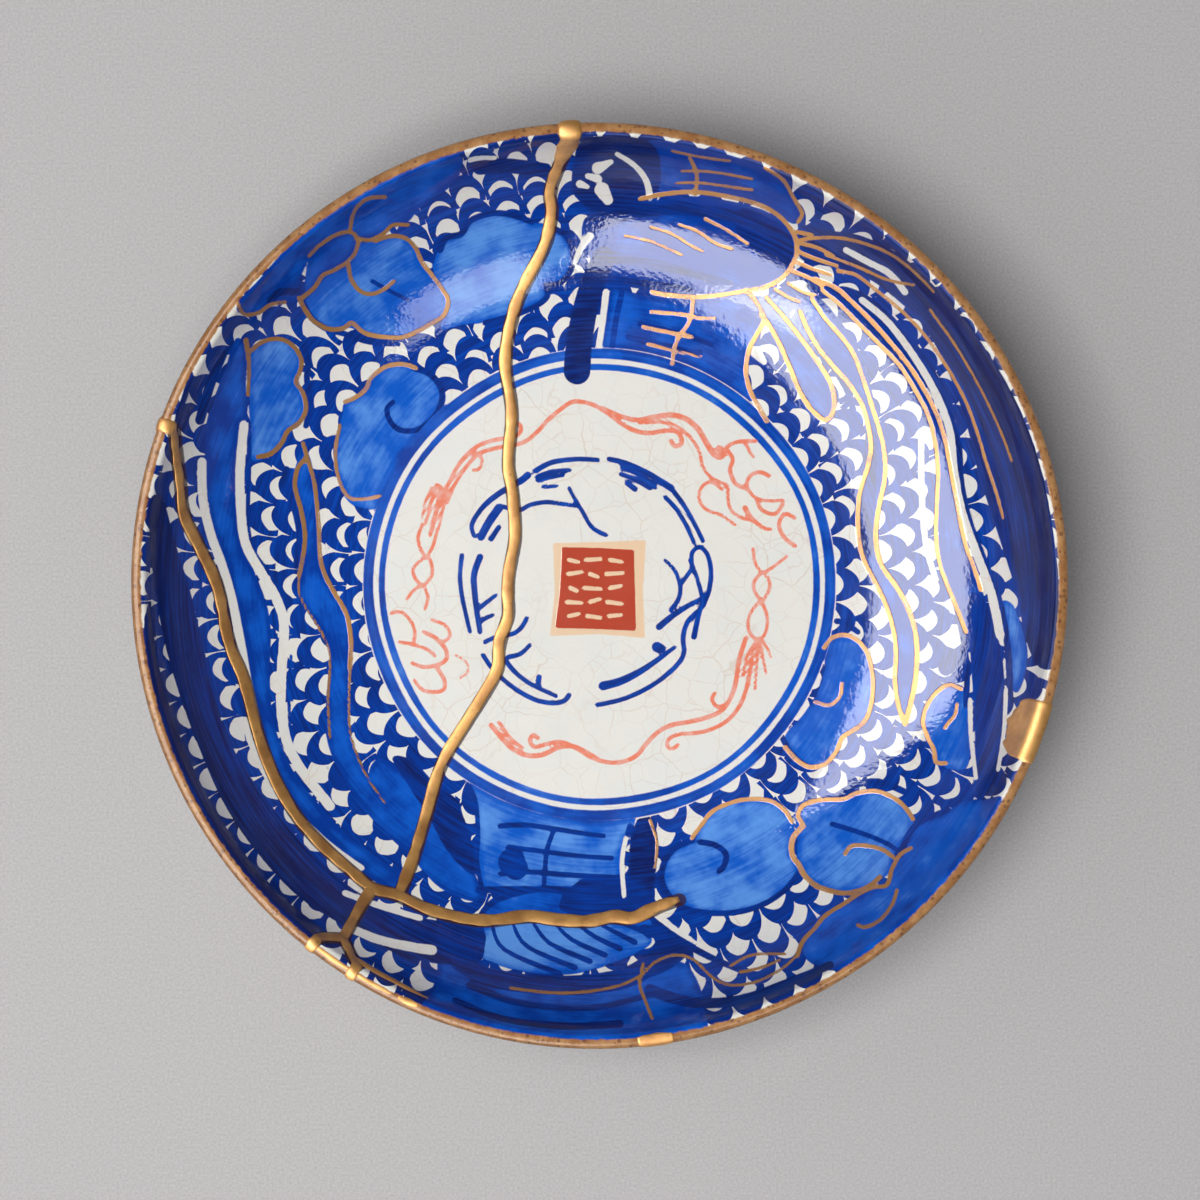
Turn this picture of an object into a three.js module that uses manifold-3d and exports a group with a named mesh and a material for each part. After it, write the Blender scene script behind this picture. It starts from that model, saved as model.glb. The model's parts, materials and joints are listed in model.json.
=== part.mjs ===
// A deep porcelain dish that was broken and mended with gold lacquer.
// It is thrown as one bowl on a foot ring, parted along its breaks into four sherds, and the
// breaks and two lost chips of the lip are filled with raised gold. Millimetres, +Z up, the
// foot ring stands on z = 0 and the dish's own axis is the Z axis.
import * as THREE from "three";
import { mergeVertices } from "three/addons/utils/BufferGeometryUtils.js";
import Module from "manifold-3d";

const wasm = await Module();
wasm.setup();

// The bowl
const rimRadius = 73;
const rimHeight = 39;
const lipThickness = 2.4;
const wallLean = 12; // degrees from upright, at the lip
const wellRadius = 37; // where the flat well turns up into the wall
const floorThickness = 4.5;

// The foot ring
const footRadius = 42;
const footWidth = 3;
const footHeight = 6;
const footFillet = 1.2;
const footChamfer = 0.5;

// Kiln warp: how far the lip strays from a true circle, and towards which angle
const ovalWarp = 0.42;
const ovalAngle = -4;
const triangleWarp = 0.21;
const triangleAngle = 10;

// The gold
const seamWidth = 1.8;
const sliverWidth = 1.7;
const sliverDepth = 1.2;
const beadHeight = 0.3; // how far the gold stands proud of the glaze
const seamClearance = 0.3; // between gold and sherd
const sideChip = { angle: -19, width: 9.6, depth: 8 };
const frontChip = { angle: -82.8, width: 5.4, depth: 1.4 };

// How finely round forms are cut into facets
const turnSteps = 80;
const wallSteps = 9;
const lipSteps = 6;
const filletSteps = 2;
const chipSteps = 20;
const weldDistance = 1e-4; // points closer than this are one
const cutterMargin = 1; // how far a cutter runs past what it cuts

// Routes of the breaks as the eye meets them from above. Each point is an angle in degrees and a
// station: 0 is the centre of the dish, 1 the edge of the well, and 2 the top of the inner wall.
const stations = { wellEdge: 1, wallTop: 2 };
const longRoute = [
  [93.6, 2], [94.3, 1.96], [95.6, 1.89], [97.1, 1.79], [97.3, 1.69], [99.6, 1.53], [106.5, 1.31],
  [112.5, 1.08], [117, 0.84], [127, 0.66], [136, 0.52], [155, 0.41], [195, 0.41], [209, 0.5],
  [219, 0.57], [223.4, 0.7], [226, 0.85], [228.6, 1.05], [232.8, 1.27], [235.7, 1.48], [237.1, 1.66],
];
const leftRoute = [
  [159.8, 2], [162.9, 1.96], [166.2, 1.92], [170.3, 1.88], [174.4, 1.8], [180.5, 1.71],
  [189.3, 1.68], [195.6, 1.65], [205.9, 1.68], [212.2, 1.7], [219, 1.71], [228.7, 1.7],
  [233.2, 1.7], [237.1, 1.66], [241.4, 1.65], [249, 1.61], [253.3, 1.57], [258, 1.52],
  [262.8, 1.515], [268.4, 1.51], [272.7, 1.49], [275.9, 1.505], [280, 1.47], [284.4, 1.455],
];
const shortRoute = [[233.2, 1.7], [233.4, 1.79], [233.9, 1.9], [234.1, 1.945]];
const forkLeftRoute = [[234.1, 1.945], [232.5, 1.975], [231.5, 2]];
const forkRightRoute = [[234.1, 1.945], [236.2, 1.98], [237.6, 2]];
const sliverRoute = [[236.9, 1.985], [240.8, 1.985], [243.8, 1.985], [247.6, 1.99]];

const UP = new THREE.Vector3(0, 0, 1);
const lipSlope = THREE.MathUtils.degToRad(90 - wallLean); // of the wall at the lip, from level
const wellHeight = footHeight + floorThickness;
const lipRadius = lipThickness / 2;
const lipCentre = new THREE.Vector2(rimRadius - lipRadius, rimHeight - lipRadius);

// The inner wall is an arc of an ellipse. It leaves the well level and meets the lip at wallLean.
const lipInward = new THREE.Vector2(-Math.sin(lipSlope), Math.cos(lipSlope));
const innerTop = lipCentre.clone().addScaledVector(lipInward, lipRadius);
const wallSpan = innerTop.x - wellRadius;
const wallRise = innerTop.y - wellHeight;
const wallEnd = Math.acos(wallRise / (wallSpan * Math.tan(lipSlope) - wallRise));
const wallAcross = wallSpan / Math.sin(wallEnd);
const wallUp = wallRise / (1 - Math.cos(wallEnd));

// A place on the inner wall: its point, the direction up the wall and the direction off its face.
function wallAt(turn) {
  const along = new THREE.Vector2(wallAcross * Math.cos(turn), wallUp * Math.sin(turn)).normalize();
  const point = new THREE.Vector2(
    wellRadius + wallAcross * Math.sin(turn),
    wellHeight + wallUp * (1 - Math.cos(turn)),
  );
  return { point, along, off: new THREE.Vector2(-along.y, along.x) };
}

// A station of the inner face, from the middle of the well out. Past the top of the wall the
// face is taken straight on, so that a break can run out over the lip.
function innerFaceAt(station) {
  if (station <= stations.wellEdge) {
    return {
      point: new THREE.Vector2(station * wellRadius, wellHeight),
      along: new THREE.Vector2(1, 0),
      off: new THREE.Vector2(0, 1),
    };
  }
  if (station <= stations.wallTop) {
    return wallAt(Math.asin(((station - stations.wellEdge) * wallSpan) / wallAcross));
  }
  const top = wallAt(wallEnd);
  top.point.addScaledVector(top.along, (station - stations.wallTop) * wallSpan);
  return top;
}

// The wall thins quickly just above the foot and slowly towards the lip.
function thicknessAt(turn) {
  return THREE.MathUtils.lerp(floorThickness, lipThickness, Math.sqrt(turn / wallEnd));
}

// How far the kiln moved the dish outwards: nothing at the foot, all of it at the lip.
function warpAt(angle, height) {
  const share = THREE.MathUtils.smoothstep(height, footHeight, rimHeight);
  const oval = ovalWarp * Math.cos(2 * (angle - THREE.MathUtils.degToRad(ovalAngle)));
  const triangle = triangleWarp * Math.cos(3 * (angle - THREE.MathUtils.degToRad(triangleAngle)));
  return share * (oval + triangle);
}

// A quarter turn of small radius between two square faces, from startAngle on.
function filletPoints(centreX, centreZ, radius, startAngle, sweep) {
  const points = [];
  for (let i = 0; i <= filletSteps; i++) {
    const a = startAngle + (sweep * i) / filletSteps;
    points.push(new THREE.Vector2(centreX + radius * Math.cos(a), centreZ + radius * Math.sin(a)));
  }
  return points;
}

// The section of the dish, from the axis under the base round to the axis in the well. With grow,
// every face but the sole of the foot stands that much further out.
function dishSection(grow) {
  const base = footHeight - grow;
  const footInner = footRadius - footWidth - grow;
  const footOuter = footRadius + grow;
  const filletCentre = base - footFillet;
  const quarter = Math.PI / 2;
  const section = [
    new THREE.Vector2(0, base),
    ...filletPoints(footInner - footFillet, filletCentre, footFillet, quarter, -quarter),
    new THREE.Vector2(footInner, footChamfer),
    new THREE.Vector2(footInner + footChamfer, 0),
    new THREE.Vector2(footOuter - footChamfer, 0),
    new THREE.Vector2(footOuter, footChamfer),
    ...filletPoints(footOuter + footFillet, filletCentre, footFillet, Math.PI, -quarter),
  ];
  const wallStart = section.at(-1);
  for (let i = 0; i <= wallSteps; i++) {
    const turn = (wallEnd * i) / wallSteps;
    const { point, off } = wallAt(turn);
    const outer = point.clone().addScaledVector(off, -thicknessAt(turn) - grow);
    if (outer.x > wallStart.x + footFillet && outer.y > wallStart.y) section.push(outer);
  }
  const { along, off } = wallAt(wallEnd);
  for (let i = 1; i < lipSteps; i++) {
    const a = (Math.PI * i) / lipSteps;
    section.push(
      lipCentre.clone()
        .addScaledVector(off, -Math.cos(a) * (lipRadius + grow))
        .addScaledVector(along, Math.sin(a) * (lipRadius + grow)),
    );
  }
  for (let i = wallSteps; i >= 0; i--) {
    const inner = wallAt((wallEnd * i) / wallSteps);
    section.push(inner.point.addScaledVector(inner.off, grow));
  }
  section.push(new THREE.Vector2(0, wellHeight + grow));
  return section;
}

// A closed mesh becomes a solid once its vertices are shared and its flat slivers are gone.
function solidOf(geometry) {
  const bare = geometry.clone();
  bare.deleteAttribute("normal");
  bare.deleteAttribute("uv");
  const merged = mergeVertices(bare, weldDistance);
  const corners = merged.index.array;
  const triVerts = [];
  for (let i = 0; i < corners.length; i += 3) {
    const [a, b, c] = corners.slice(i, i + 3);
    if (a !== b && b !== c && c !== a) triVerts.push(a, b, c);
  }
  return new wasm.Manifold(
    new wasm.Mesh({
      numProp: 3,
      vertProperties: merged.attributes.position.array,
      triVerts: new Uint32Array(triVerts),
    }),
  );
}

function geometryOf(solid) {
  const mesh = solid.getMesh();
  const geometry = new THREE.BufferGeometry();
  geometry.setAttribute("position", new THREE.BufferAttribute(mesh.vertProperties, 3));
  geometry.setIndex(new THREE.BufferAttribute(mesh.triVerts, 1));
  geometry.computeVertexNormals();
  return geometry;
}

// The section turned about the axis, then warped as the kiln left it.
function dishSolid(grow) {
  const geometry = new THREE.LatheGeometry(dishSection(grow), turnSteps);
  geometry.rotateX(Math.PI / 2);
  const place = geometry.attributes.position;
  const v = new THREE.Vector3();
  for (let i = 0; i < place.count; i++) {
    v.fromBufferAttribute(place, i);
    const radius = Math.hypot(v.x, v.y);
    if (radius < weldDistance) continue; // on the axis
    const stretch = 1 + warpAt(Math.atan2(v.y, v.x), v.z) / radius;
    place.setXYZ(i, v.x * stretch, v.y * stretch, v.z);
  }
  return solidOf(geometry);
}

// Where a route's point lies on the inner face, and which way the face looks there.
function placeOnFace([degrees, station]) {
  const angle = THREE.MathUtils.degToRad(degrees);
  const face = innerFaceAt(station);
  const radial = new THREE.Vector3(Math.cos(angle), Math.sin(angle), 0);
  return {
    point: radial.clone()
      .multiplyScalar(face.point.x + warpAt(angle, face.point.y))
      .addScaledVector(UP, face.point.y),
    off: radial.clone().multiplyScalar(face.off.x).addScaledVector(UP, face.off.y),
  };
}

// A blade that follows a route and stands square to the dish's face, widths[0] wide at its start
// and widths[1] at its end. It reaches `above` into the bowl and `below` into the body.
function blade(route, widths, above, below) {
  const places = route.map(placeOnFace);
  const position = [];
  places.forEach(({ point, off }, i) => {
    const before = places[Math.max(i - 1, 0)].point;
    const after = places[Math.min(i + 1, places.length - 1)].point;
    const side = after.clone().sub(before).cross(off).normalize();
    const width = THREE.MathUtils.lerp(widths[0], widths[1], i / (places.length - 1));
    for (const [across, out] of [[-1, above], [1, above], [1, -below], [-1, -below]]) {
      position.push(
        ...point.clone().addScaledVector(side, (across * width) / 2).addScaledVector(off, out).toArray(),
      );
    }
  });
  const index = [0, 2, 1, 0, 3, 2];
  for (let i = 0; i < places.length - 1; i++) {
    for (let edge = 0; edge < 4; edge++) {
      const a = 4 * i + edge;
      const b = 4 * i + ((edge + 1) % 4);
      index.push(a, b, a + 4, b, b + 4, a + 4);
    }
  }
  const last = 4 * (places.length - 1);
  index.push(last, last + 1, last + 2, last, last + 2, last + 3);
  const geometry = new THREE.BufferGeometry();
  geometry.setAttribute("position", new THREE.Float32BufferAttribute(position, 3));
  geometry.setIndex(index);
  return solidOf(geometry);
}

// A route that starts or ends at the lip runs on over its crest.
function overTheLip(route) {
  const beyond = stations.wallTop + (lipThickness + beadHeight + cutterMargin) / wallSpan;
  const past = ([angle, station]) => (station === stations.wallTop ? [[angle, beyond]] : []);
  return [...past(route[0]), ...route, ...past(route.at(-1))];
}

// All the breaks as one cutter, with `extra` added on every side. It is deep enough to part the
// foot ring where a break passes over its outer edge.
function breakCutter(extra) {
  const above = beadHeight + cutterMargin;
  const overFoot = innerFaceAt(stations.wellEdge + (footRadius + footFillet - wellRadius) / wallSpan);
  const through = overFoot.point.y / overFoot.off.y + cutterMargin;
  const width = seamWidth + 2 * extra;
  const breaks = [longRoute, leftRoute, shortRoute, forkLeftRoute, forkRightRoute].map((route) =>
    blade(overTheLip(route), [width, width], above, through),
  );
  const sliverWidths = [sliverWidth + 2 * extra, sliverWidth / 2 + 2 * extra];
  breaks.push(blade(sliverRoute, sliverWidths, above, sliverDepth + extra));
  return breaks.reduce((all, one) => all.add(one));
}

// A chip lost from the lip: an oval as seen from the side, centred on the lip's crest. The cutter
// is long enough to pass through the leaning wall.
function chipCutter(chip, extra) {
  const length = 4 * lipThickness;
  const geometry = new THREE.CylinderGeometry(1, 1, length, chipSteps);
  geometry.scale(chip.width / 2 + extra, 1, chip.depth + extra);
  geometry.translate(0, rimRadius, rimHeight);
  geometry.rotateZ(THREE.MathUtils.degToRad(chip.angle - 90));
  return solidOf(geometry);
}

const glaze = { color: 0x3f62ad, roughness: 0.15, metalness: 0 };
const gold = { color: 0xc08a3e, roughness: 0.35, metalness: 0.9 };

function piece(name, solid, finish) {
  const mesh = new THREE.Mesh(geometryOf(solid), new THREE.MeshStandardMaterial(finish));
  mesh.name = name;
  return mesh;
}

function sherdPieces() {
  const names = ["large_sherd", "upper_left_sherd", "left_edge_sherd", "rim_splinter"];
  const sherds = dishSolid(0)
    .subtract(breakCutter(seamClearance))
    .subtract(chipCutter(sideChip, seamClearance))
    .subtract(chipCutter(frontChip, seamClearance))
    .decompose()
    .sort((a, b) => b.volume() - a.volume());
  return names.map((name, i) => piece(name, sherds[i], glaze));
}

function goldPieces() {
  const proud = dishSolid(beadHeight);
  return [
    piece("gold_seams", proud.intersect(breakCutter(0)), gold),
    piece("side_chip_fill", proud.intersect(chipCutter(sideChip, 0)), gold),
    piece("front_chip_fill", proud.intersect(chipCutter(frontChip, 0)), gold),
  ];
}

const dish = new THREE.Group();
dish.name = "mended_dish";
dish.add(...sherdPieces(), ...goldPieces());

export default dish;
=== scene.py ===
"""A painted porcelain dish, broken and mended with gold lacquer, on a plain floor."""

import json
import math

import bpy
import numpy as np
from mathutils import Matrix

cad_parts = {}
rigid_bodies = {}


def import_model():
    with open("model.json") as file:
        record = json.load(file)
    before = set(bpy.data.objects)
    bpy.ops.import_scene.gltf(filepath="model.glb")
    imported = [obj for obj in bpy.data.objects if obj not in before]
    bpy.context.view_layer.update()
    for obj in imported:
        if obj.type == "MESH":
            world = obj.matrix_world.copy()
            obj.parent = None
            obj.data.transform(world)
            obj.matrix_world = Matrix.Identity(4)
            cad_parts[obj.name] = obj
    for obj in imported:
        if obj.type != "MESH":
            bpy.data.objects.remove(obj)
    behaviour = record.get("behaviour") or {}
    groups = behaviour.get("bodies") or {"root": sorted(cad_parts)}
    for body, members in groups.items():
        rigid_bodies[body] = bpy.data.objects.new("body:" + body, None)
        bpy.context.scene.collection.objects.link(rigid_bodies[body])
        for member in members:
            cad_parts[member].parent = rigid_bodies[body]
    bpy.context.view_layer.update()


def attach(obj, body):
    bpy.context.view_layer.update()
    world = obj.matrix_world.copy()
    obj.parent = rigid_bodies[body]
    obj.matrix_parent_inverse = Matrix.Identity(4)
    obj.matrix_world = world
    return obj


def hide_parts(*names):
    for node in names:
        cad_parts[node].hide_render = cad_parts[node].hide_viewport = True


bl_info = {
    "name": "Mended Porcelain Dish",
    "version": (1, 0, 0),
    "blender": (4, 5, 0),
    "location": "View3D > Sidebar > Dish",
    "description": "Builds a painted porcelain dish that was broken and mended with gold lacquer",
    "category": "Add Mesh",
}

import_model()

MM = 0.001

# The photograph's scale. It looks straight down, and its middle lies on the optical axis.
PHOTO_CENTRE = 600.0
PHOTO_WIDTH = 1200.0
PIXEL_AT_RIM = 0.15665  # millimetres for each pixel at the height of the rim
CAMERA_HEIGHT = 819.0  # above the table
SCALE_HEIGHT = 38.0  # where PIXEL_AT_RIM was measured
AXIS_X = 0.235  # where the optical axis meets the dish
AXIS_Y = -2.35

# The sherds' nodes, the largest first, and the layers of paint on them
SHERD_NODES = ("large_sherd", "upper_left_sherd", "left_edge_sherd", "rim_splinter")
PAINT_LAYERS = ("scales", "dark", "wash", "gold", "red", "tan", "seal", "lacquer")

# How finely the sherds are divided, in millimetres
INNER_STEP = 0.46
OUTER_STEP = 0.95
LIP_STEP = 0.35
BREAK_GAP = 0.3  # between two sherds, under the gold
FAR = 400.0  # a distance, in pixels, that stands for nowhere near

# Routes of the breaks as the eye meets them from above. Each point is an angle in degrees and a
# station: 0 is the centre of the dish, 1 the edge of the well, and 2 the top of the inner wall.
LIP_STATION = 2
LONG_ROUTE = [
    (93.6, 2), (94.3, 1.96), (95.6, 1.89), (97.1, 1.79), (97.3, 1.69), (99.6, 1.53), (106.5, 1.31),
    (112.5, 1.08), (117, 0.84), (127, 0.66), (136, 0.52), (155, 0.41), (195, 0.41), (209, 0.5),
    (219, 0.57), (223.4, 0.7), (226, 0.85), (228.6, 1.05), (232.8, 1.27), (235.7, 1.48), (237.1, 1.66),
]
LEFT_ROUTE = [
    (159.8, 2), (162.9, 1.96), (166.2, 1.92), (170.3, 1.88), (174.4, 1.8), (180.5, 1.71),
    (189.3, 1.68), (195.6, 1.65), (205.9, 1.68), (212.2, 1.7), (219, 1.71), (228.7, 1.7),
    (233.2, 1.7), (237.1, 1.66), (241.4, 1.65), (249, 1.61), (253.3, 1.57), (258, 1.52),
    (262.8, 1.515), (268.4, 1.51), (272.7, 1.49), (275.9, 1.505), (280, 1.47), (284.4, 1.455),
]
SHORT_ROUTE = [(233.2, 1.7), (233.4, 1.79), (233.9, 1.9), (234.1, 1.945)]
FORK_LEFT_ROUTE = [(234.1, 1.945), (232.5, 1.975), (231.5, 2)]
FORK_RIGHT_ROUTE = [(234.1, 1.945), (236.2, 1.98), (237.6, 2)]
SLIVER_ROUTE = [(236.9, 1.985), (240.8, 1.985), (243.8, 1.985), (247.6, 1.99)]

# The gold on the breaks. The long seam keeps its full width over the lip for KNOB_REACH, in
# millimetres from the crest, and thins within KNOB_TAPER.
KNOB_REACH = 5.0
KNOB_TAPER = 6.0
LEFT_SPREAD = 1.2  # the left seam's width beside the others'
END_SPREAD = 0.45  # its width at both ends, reached in END_STEPS points
END_STEPS = 6
BEAD_SIDES = 14
FIRST_SEED = 3
BREAKS = (LONG_ROUTE, LEFT_ROUTE, SHORT_ROUTE, FORK_LEFT_ROUTE, FORK_RIGHT_ROUTE)

# Dark lacquer shows beside the gold of each break: its half widths and its shift, in pixels
LACQUER_HALVES = (7.2, 7.0, 6.6, 6.2, 6.2)
LACQUER_SHIFT = (0.7, 0.9)

# Thin gold smeared along the crest of the lip beside the fork: the middle in degrees, then the
# width and how far the gold reaches in and out, in millimetres
CREST_SMEARS = [(234.3, 7.4, 0.4, 0.5), (240.6, 7.0, 0.35, 0.45), (245.4, 3.6, 0.6, 0.7)]
SMEAR_PROUD = 0.05  # how far they stand off the glaze

# The chips' fills, each with the same four numbers
SIDE_CHIP = (-18.6, 10.4, 10.0, 7.0)
FRONT_CHIP = (-82.8, 6.0, 0.9, 2.6)

# The painting. Every figure is a list of points in the photograph's pixels.
WELL_CENTRE = (599.6, 584.8)
INNER_RING = (217.4, 3.3, 0.75)  # radius, half width and tone of a ring round the well
OUTER_RING = (231.0, 5.2, 1.05)
WELL_BAR = (11.5, 13.5, 0.75)  # half widths and depth of the bar where it ends in the well
THIN_STROKE = 0.1  # depth of the figures' strokes
SEAL_STROKE = (2.3, 1.9)
WALL_START = 237.0

# Blue brush strokes round the seal: half widths at both ends, then the points
WELL_BLUES = [
    (2.2, 3.6, [(474, 536), (472, 524), (483, 507), (497, 495), (512, 486), (522, 480), (528, 475)]),
    (4, 4.4, [(481, 537), (489, 522), (499, 508)]),
    (2.8, 2.6, [(491, 539), (499, 527)]),
    (2.4, 2.2, [(500, 506), (519, 510), (530, 505), (546, 502), (562, 504), (578, 506)]),
    (2, 2.4, [(569, 488), (575, 499), (582, 511), (591, 526), (599, 532), (606, 535)]),
    (2.8, 2.4, [(535, 471), (550, 463), (566, 460), (582, 459), (598, 460)]),
    (3, 2.2, [(538, 477), (552, 472), (570, 470)]),
    (2.8, 2.2, [(538, 480), (550, 477), (563, 475)]),
    (2.2, 1.8, [(543, 487), (557, 486)]),
    (2.6, 3.6, [(609, 459), (625, 463), (645, 472), (660, 481), (671, 488)]),
    (2.6, 2.8, [(622, 467), (640, 475), (655, 487)]),
    (2.4, 2.6, [(621, 474), (636, 480), (650, 488)]),
    (2.8, 3, [(627, 483), (635, 489)]),
    (2.6, 2.2, [(671, 488), (683, 504), (694, 523), (703, 541)]),
    (2.4, 2.2, [(665, 497), (677, 510), (687, 527), (694, 543)]),
    (2.2, 2.6, [(692, 566), (692, 553), (700, 547), (708, 556), (711, 572), (709, 590), (703, 606)]),
    (2, 2.4, [(690, 560), (697, 578), (703, 600)]),
    (2.2, 2.2, [(693, 567), (686, 577), (681, 584)]),
    (1.8, 2.6, [(665, 560), (675, 571), (680, 585), (679, 598), (671, 610)]),
    (2.4, 3.4, [(703, 598), (686, 607), (671, 617), (659, 627)]),
    (2.6, 2.4, [(697, 612), (687, 623), (683, 638), (684, 652), (678, 664), (660, 680), (640, 692),
     (620, 700), (597, 705)]),
    (2.4, 3, [(701, 606), (697, 622), (694, 637)]),
    (5.4, 5, [(657, 647), (661, 649)]),
    (2, 4.6, [(675, 647), (660, 658), (641, 671), (621, 681), (603, 686)]),
    (2.4, 2.2, [(462, 555), (460, 575), (462, 596), (466, 615), (470, 632)]),
    (3.4, 2.6, [(480, 557), (474, 575), (475, 595), (477, 613), (480, 632)]),
    (2.6, 2, [(477, 610), (487, 602), (496, 595)]),
    (2.4, 2, [(479, 623), (486, 618), (493, 615)]),
    (2.4, 2.4, [(485, 642), (496, 637), (512, 634), (521, 628), (527, 618)]),
    (2.6, 2.2, [(508, 657), (520, 654), (530, 645)]),
    (2.4, 2.6, [(483, 655), (492, 668), (505, 681), (520, 692), (536, 700), (552, 703), (564, 701),
     (569, 695)]),
    (2.6, 2.2, [(505, 660), (515, 672), (529, 683), (543, 690), (556, 696)]),
    (2.6, 3, [(538, 686), (539, 677)]),
]

# How far the iron brown of the lip reaches in from the crest and out from it, in millimetres
LIP_BAND = (0.45, 2.4)

# Iron red brush strokes of the wreath
WELL_REDS = [
    (2, 2.2, [(430, 535), (438, 507), (446, 489), (455, 471), (463, 459), (476, 447), (491, 441), (506, 438),
     (516, 436), (521, 430), (519, 424), (514, 425), (512, 429)]),
    (2, 2.4, [(447, 502), (455, 484), (466, 467), (479, 454), (496, 448), (511, 446), (526, 441), (538, 431),
     (549, 419), (561, 409), (572, 402), (583, 402), (596, 406), (609, 414), (622, 424), (636, 431),
     (650, 433), (663, 431), (675, 431), (681, 437), (681, 444), (675, 446), (671, 441)]),
    (1.6, 1.8, [(466, 457), (477, 453), (482, 460), (479, 469), (473, 470)]),
    (2.2, 3.2, [(602, 408), (620, 416), (637, 420), (654, 417), (671, 415), (686, 419), (698, 429),
     (706, 442), (713, 453), (720, 457), (724, 452), (719, 448)]),
    (1.8, 1.8, [(640, 423), (661, 422), (676, 426), (690, 437), (699, 451), (703, 467), (712, 478),
     (727, 485)]),
    (1.8, 1.6, [(722, 489), (711, 482), (702, 487), (699, 499), (707, 510), (721, 515), (735, 525)]),
    (1.8, 1.8, [(728, 487), (728, 499), (731, 510), (740, 517), (750, 520)]),
    (2.2, 2, [(745, 488), (735, 483), (730, 470), (733, 459), (727, 448), (737, 442), (756, 441)]),
    (2, 1.6, [(746, 444), (750, 452), (754, 457)]),
    (2.2, 1.6, [(769, 476), (760, 472), (750, 476), (747, 487), (756, 498), (770, 501), (783, 500)]),
    (2, 2, [(757, 500), (762, 510), (775, 514), (783, 504)]),
    (2.8, 1.8, [(745, 508), (752, 519), (764, 528), (771, 529)]),
    (2, 2.2, [(795, 518), (785, 514), (779, 524), (784, 537), (795, 546)]),
    (1.8, 1.6, [(753, 549), (755, 562), (762, 572), (773, 567), (787, 556)]),
    (1.8, 1.8, [(762, 572), (754, 582), (755, 592), (762, 600), (769, 590), (769, 580), (762, 572)]),
    (1.8, 1.8, [(761, 600), (751, 612), (748, 626), (752, 636), (759, 639), (766, 632), (767, 616),
     (761, 600)]),
    (1.8, 1.6, [(757, 640), (748, 655), (743, 676)]),
    (1.8, 1.4, [(757, 640), (751, 660), (749, 684)]),
    (1.8, 1.4, [(758, 640), (757, 660), (755, 690)]),
    (1.8, 1.4, [(759, 640), (763, 658), (766, 674)]),
    (1.8, 1.4, [(760, 638), (767, 648), (771, 657)]),
    (2.4, 2.2, [(746, 638), (739, 660), (736, 681), (731, 697), (721, 711), (705, 718), (688, 722),
     (672, 725), (658, 732), (646, 744), (636, 756), (621, 762), (606, 762), (591, 757), (576, 748),
     (561, 742), (547, 744), (535, 747), (530, 741), (533, 735), (538, 738)]),
    (2.2, 2, [(752, 660), (747, 686), (740, 705), (728, 720), (712, 729), (696, 733), (681, 734), (670, 738),
     (667, 745), (672, 749), (678, 745)]),
    (2, 2, [(715, 693), (712, 700), (718, 707), (727, 704)]),
    (2.6, 2.4, [(491, 725), (501, 737), (512, 748), (526, 755), (542, 755), (557, 748), (571, 746),
     (586, 752), (600, 761)]),
    (2, 2, [(499, 722), (509, 737), (522, 748)]),
    (1.8, 1.8, [(391, 613), (401, 612), (410, 620), (415, 632), (413, 645)]),
    (1.8, 1.8, [(399, 642), (415, 645), (428, 650), (435, 656)]),
    (1.8, 1.8, [(432, 620), (445, 625), (450, 635), (445, 641), (439, 641)]),
    (2.2, 2, [(424, 632), (437, 639), (446, 650), (446, 660), (437, 665), (424, 667), (412, 663)]),
    (1.8, 2.2, [(414, 680), (423, 690), (435, 692), (444, 689), (444, 679), (437, 668)]),
    (1.2, 1.4, [(455, 655), (466, 662), (468, 672), (460, 678)]),
    (2.2, 1.6, [(437, 485), (431, 503), (426, 524)]),
    (2.2, 1.6, [(441, 487), (437, 506), (432, 526)]),
    (2.2, 1.6, [(446, 488), (443, 508), (438, 530)]),
    (1.6, 1.2, [(432, 487), (425, 503), (422, 520)]),
    (1.8, 1.8, [(423, 524), (418, 537), (421, 550), (427, 556), (434, 543), (437, 530)]),
    (1.8, 1.8, [(427, 556), (414, 567), (415, 578), (423, 585), (432, 575), (431, 562), (427, 556)]),
    (1.8, 1.6, [(423, 585), (414, 590), (407, 599)]),
    (1.8, 1.6, [(423, 585), (428, 597), (425, 609)]),
]

# The seal: a tan pad, a red block on it, and rows of short strokes left bare in the block. They
# are no writing. Each row holds a start, a length and a slant for every stroke.
SEAL_PAD = [(553, 543), (600, 542), (646, 540), (643, 590), (645, 638), (598, 634), (550, 636), (555, 590)]
SEAL_BLOCK = [(562, 547), (600, 548), (634, 550), (635, 590), (636, 631), (596, 629), (555, 628), (560, 590)]
SEAL_ROWS = [
    (560, [(569, 9, 2), (586, 15, -1), (610, 12, 2)]),
    (574, [(568, 14, -2), (590, 8, 3), (606, 17, -1)]),
    (588, [(570, 7, 3), (584, 17, 1), (610, 11, -2)]),
    (602, [(567, 15, 1), (590, 10, -3), (607, 15, 2)]),
    (616, [(569, 10, -2), (587, 14, 2), (609, 12, -1)]),
]

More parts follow.
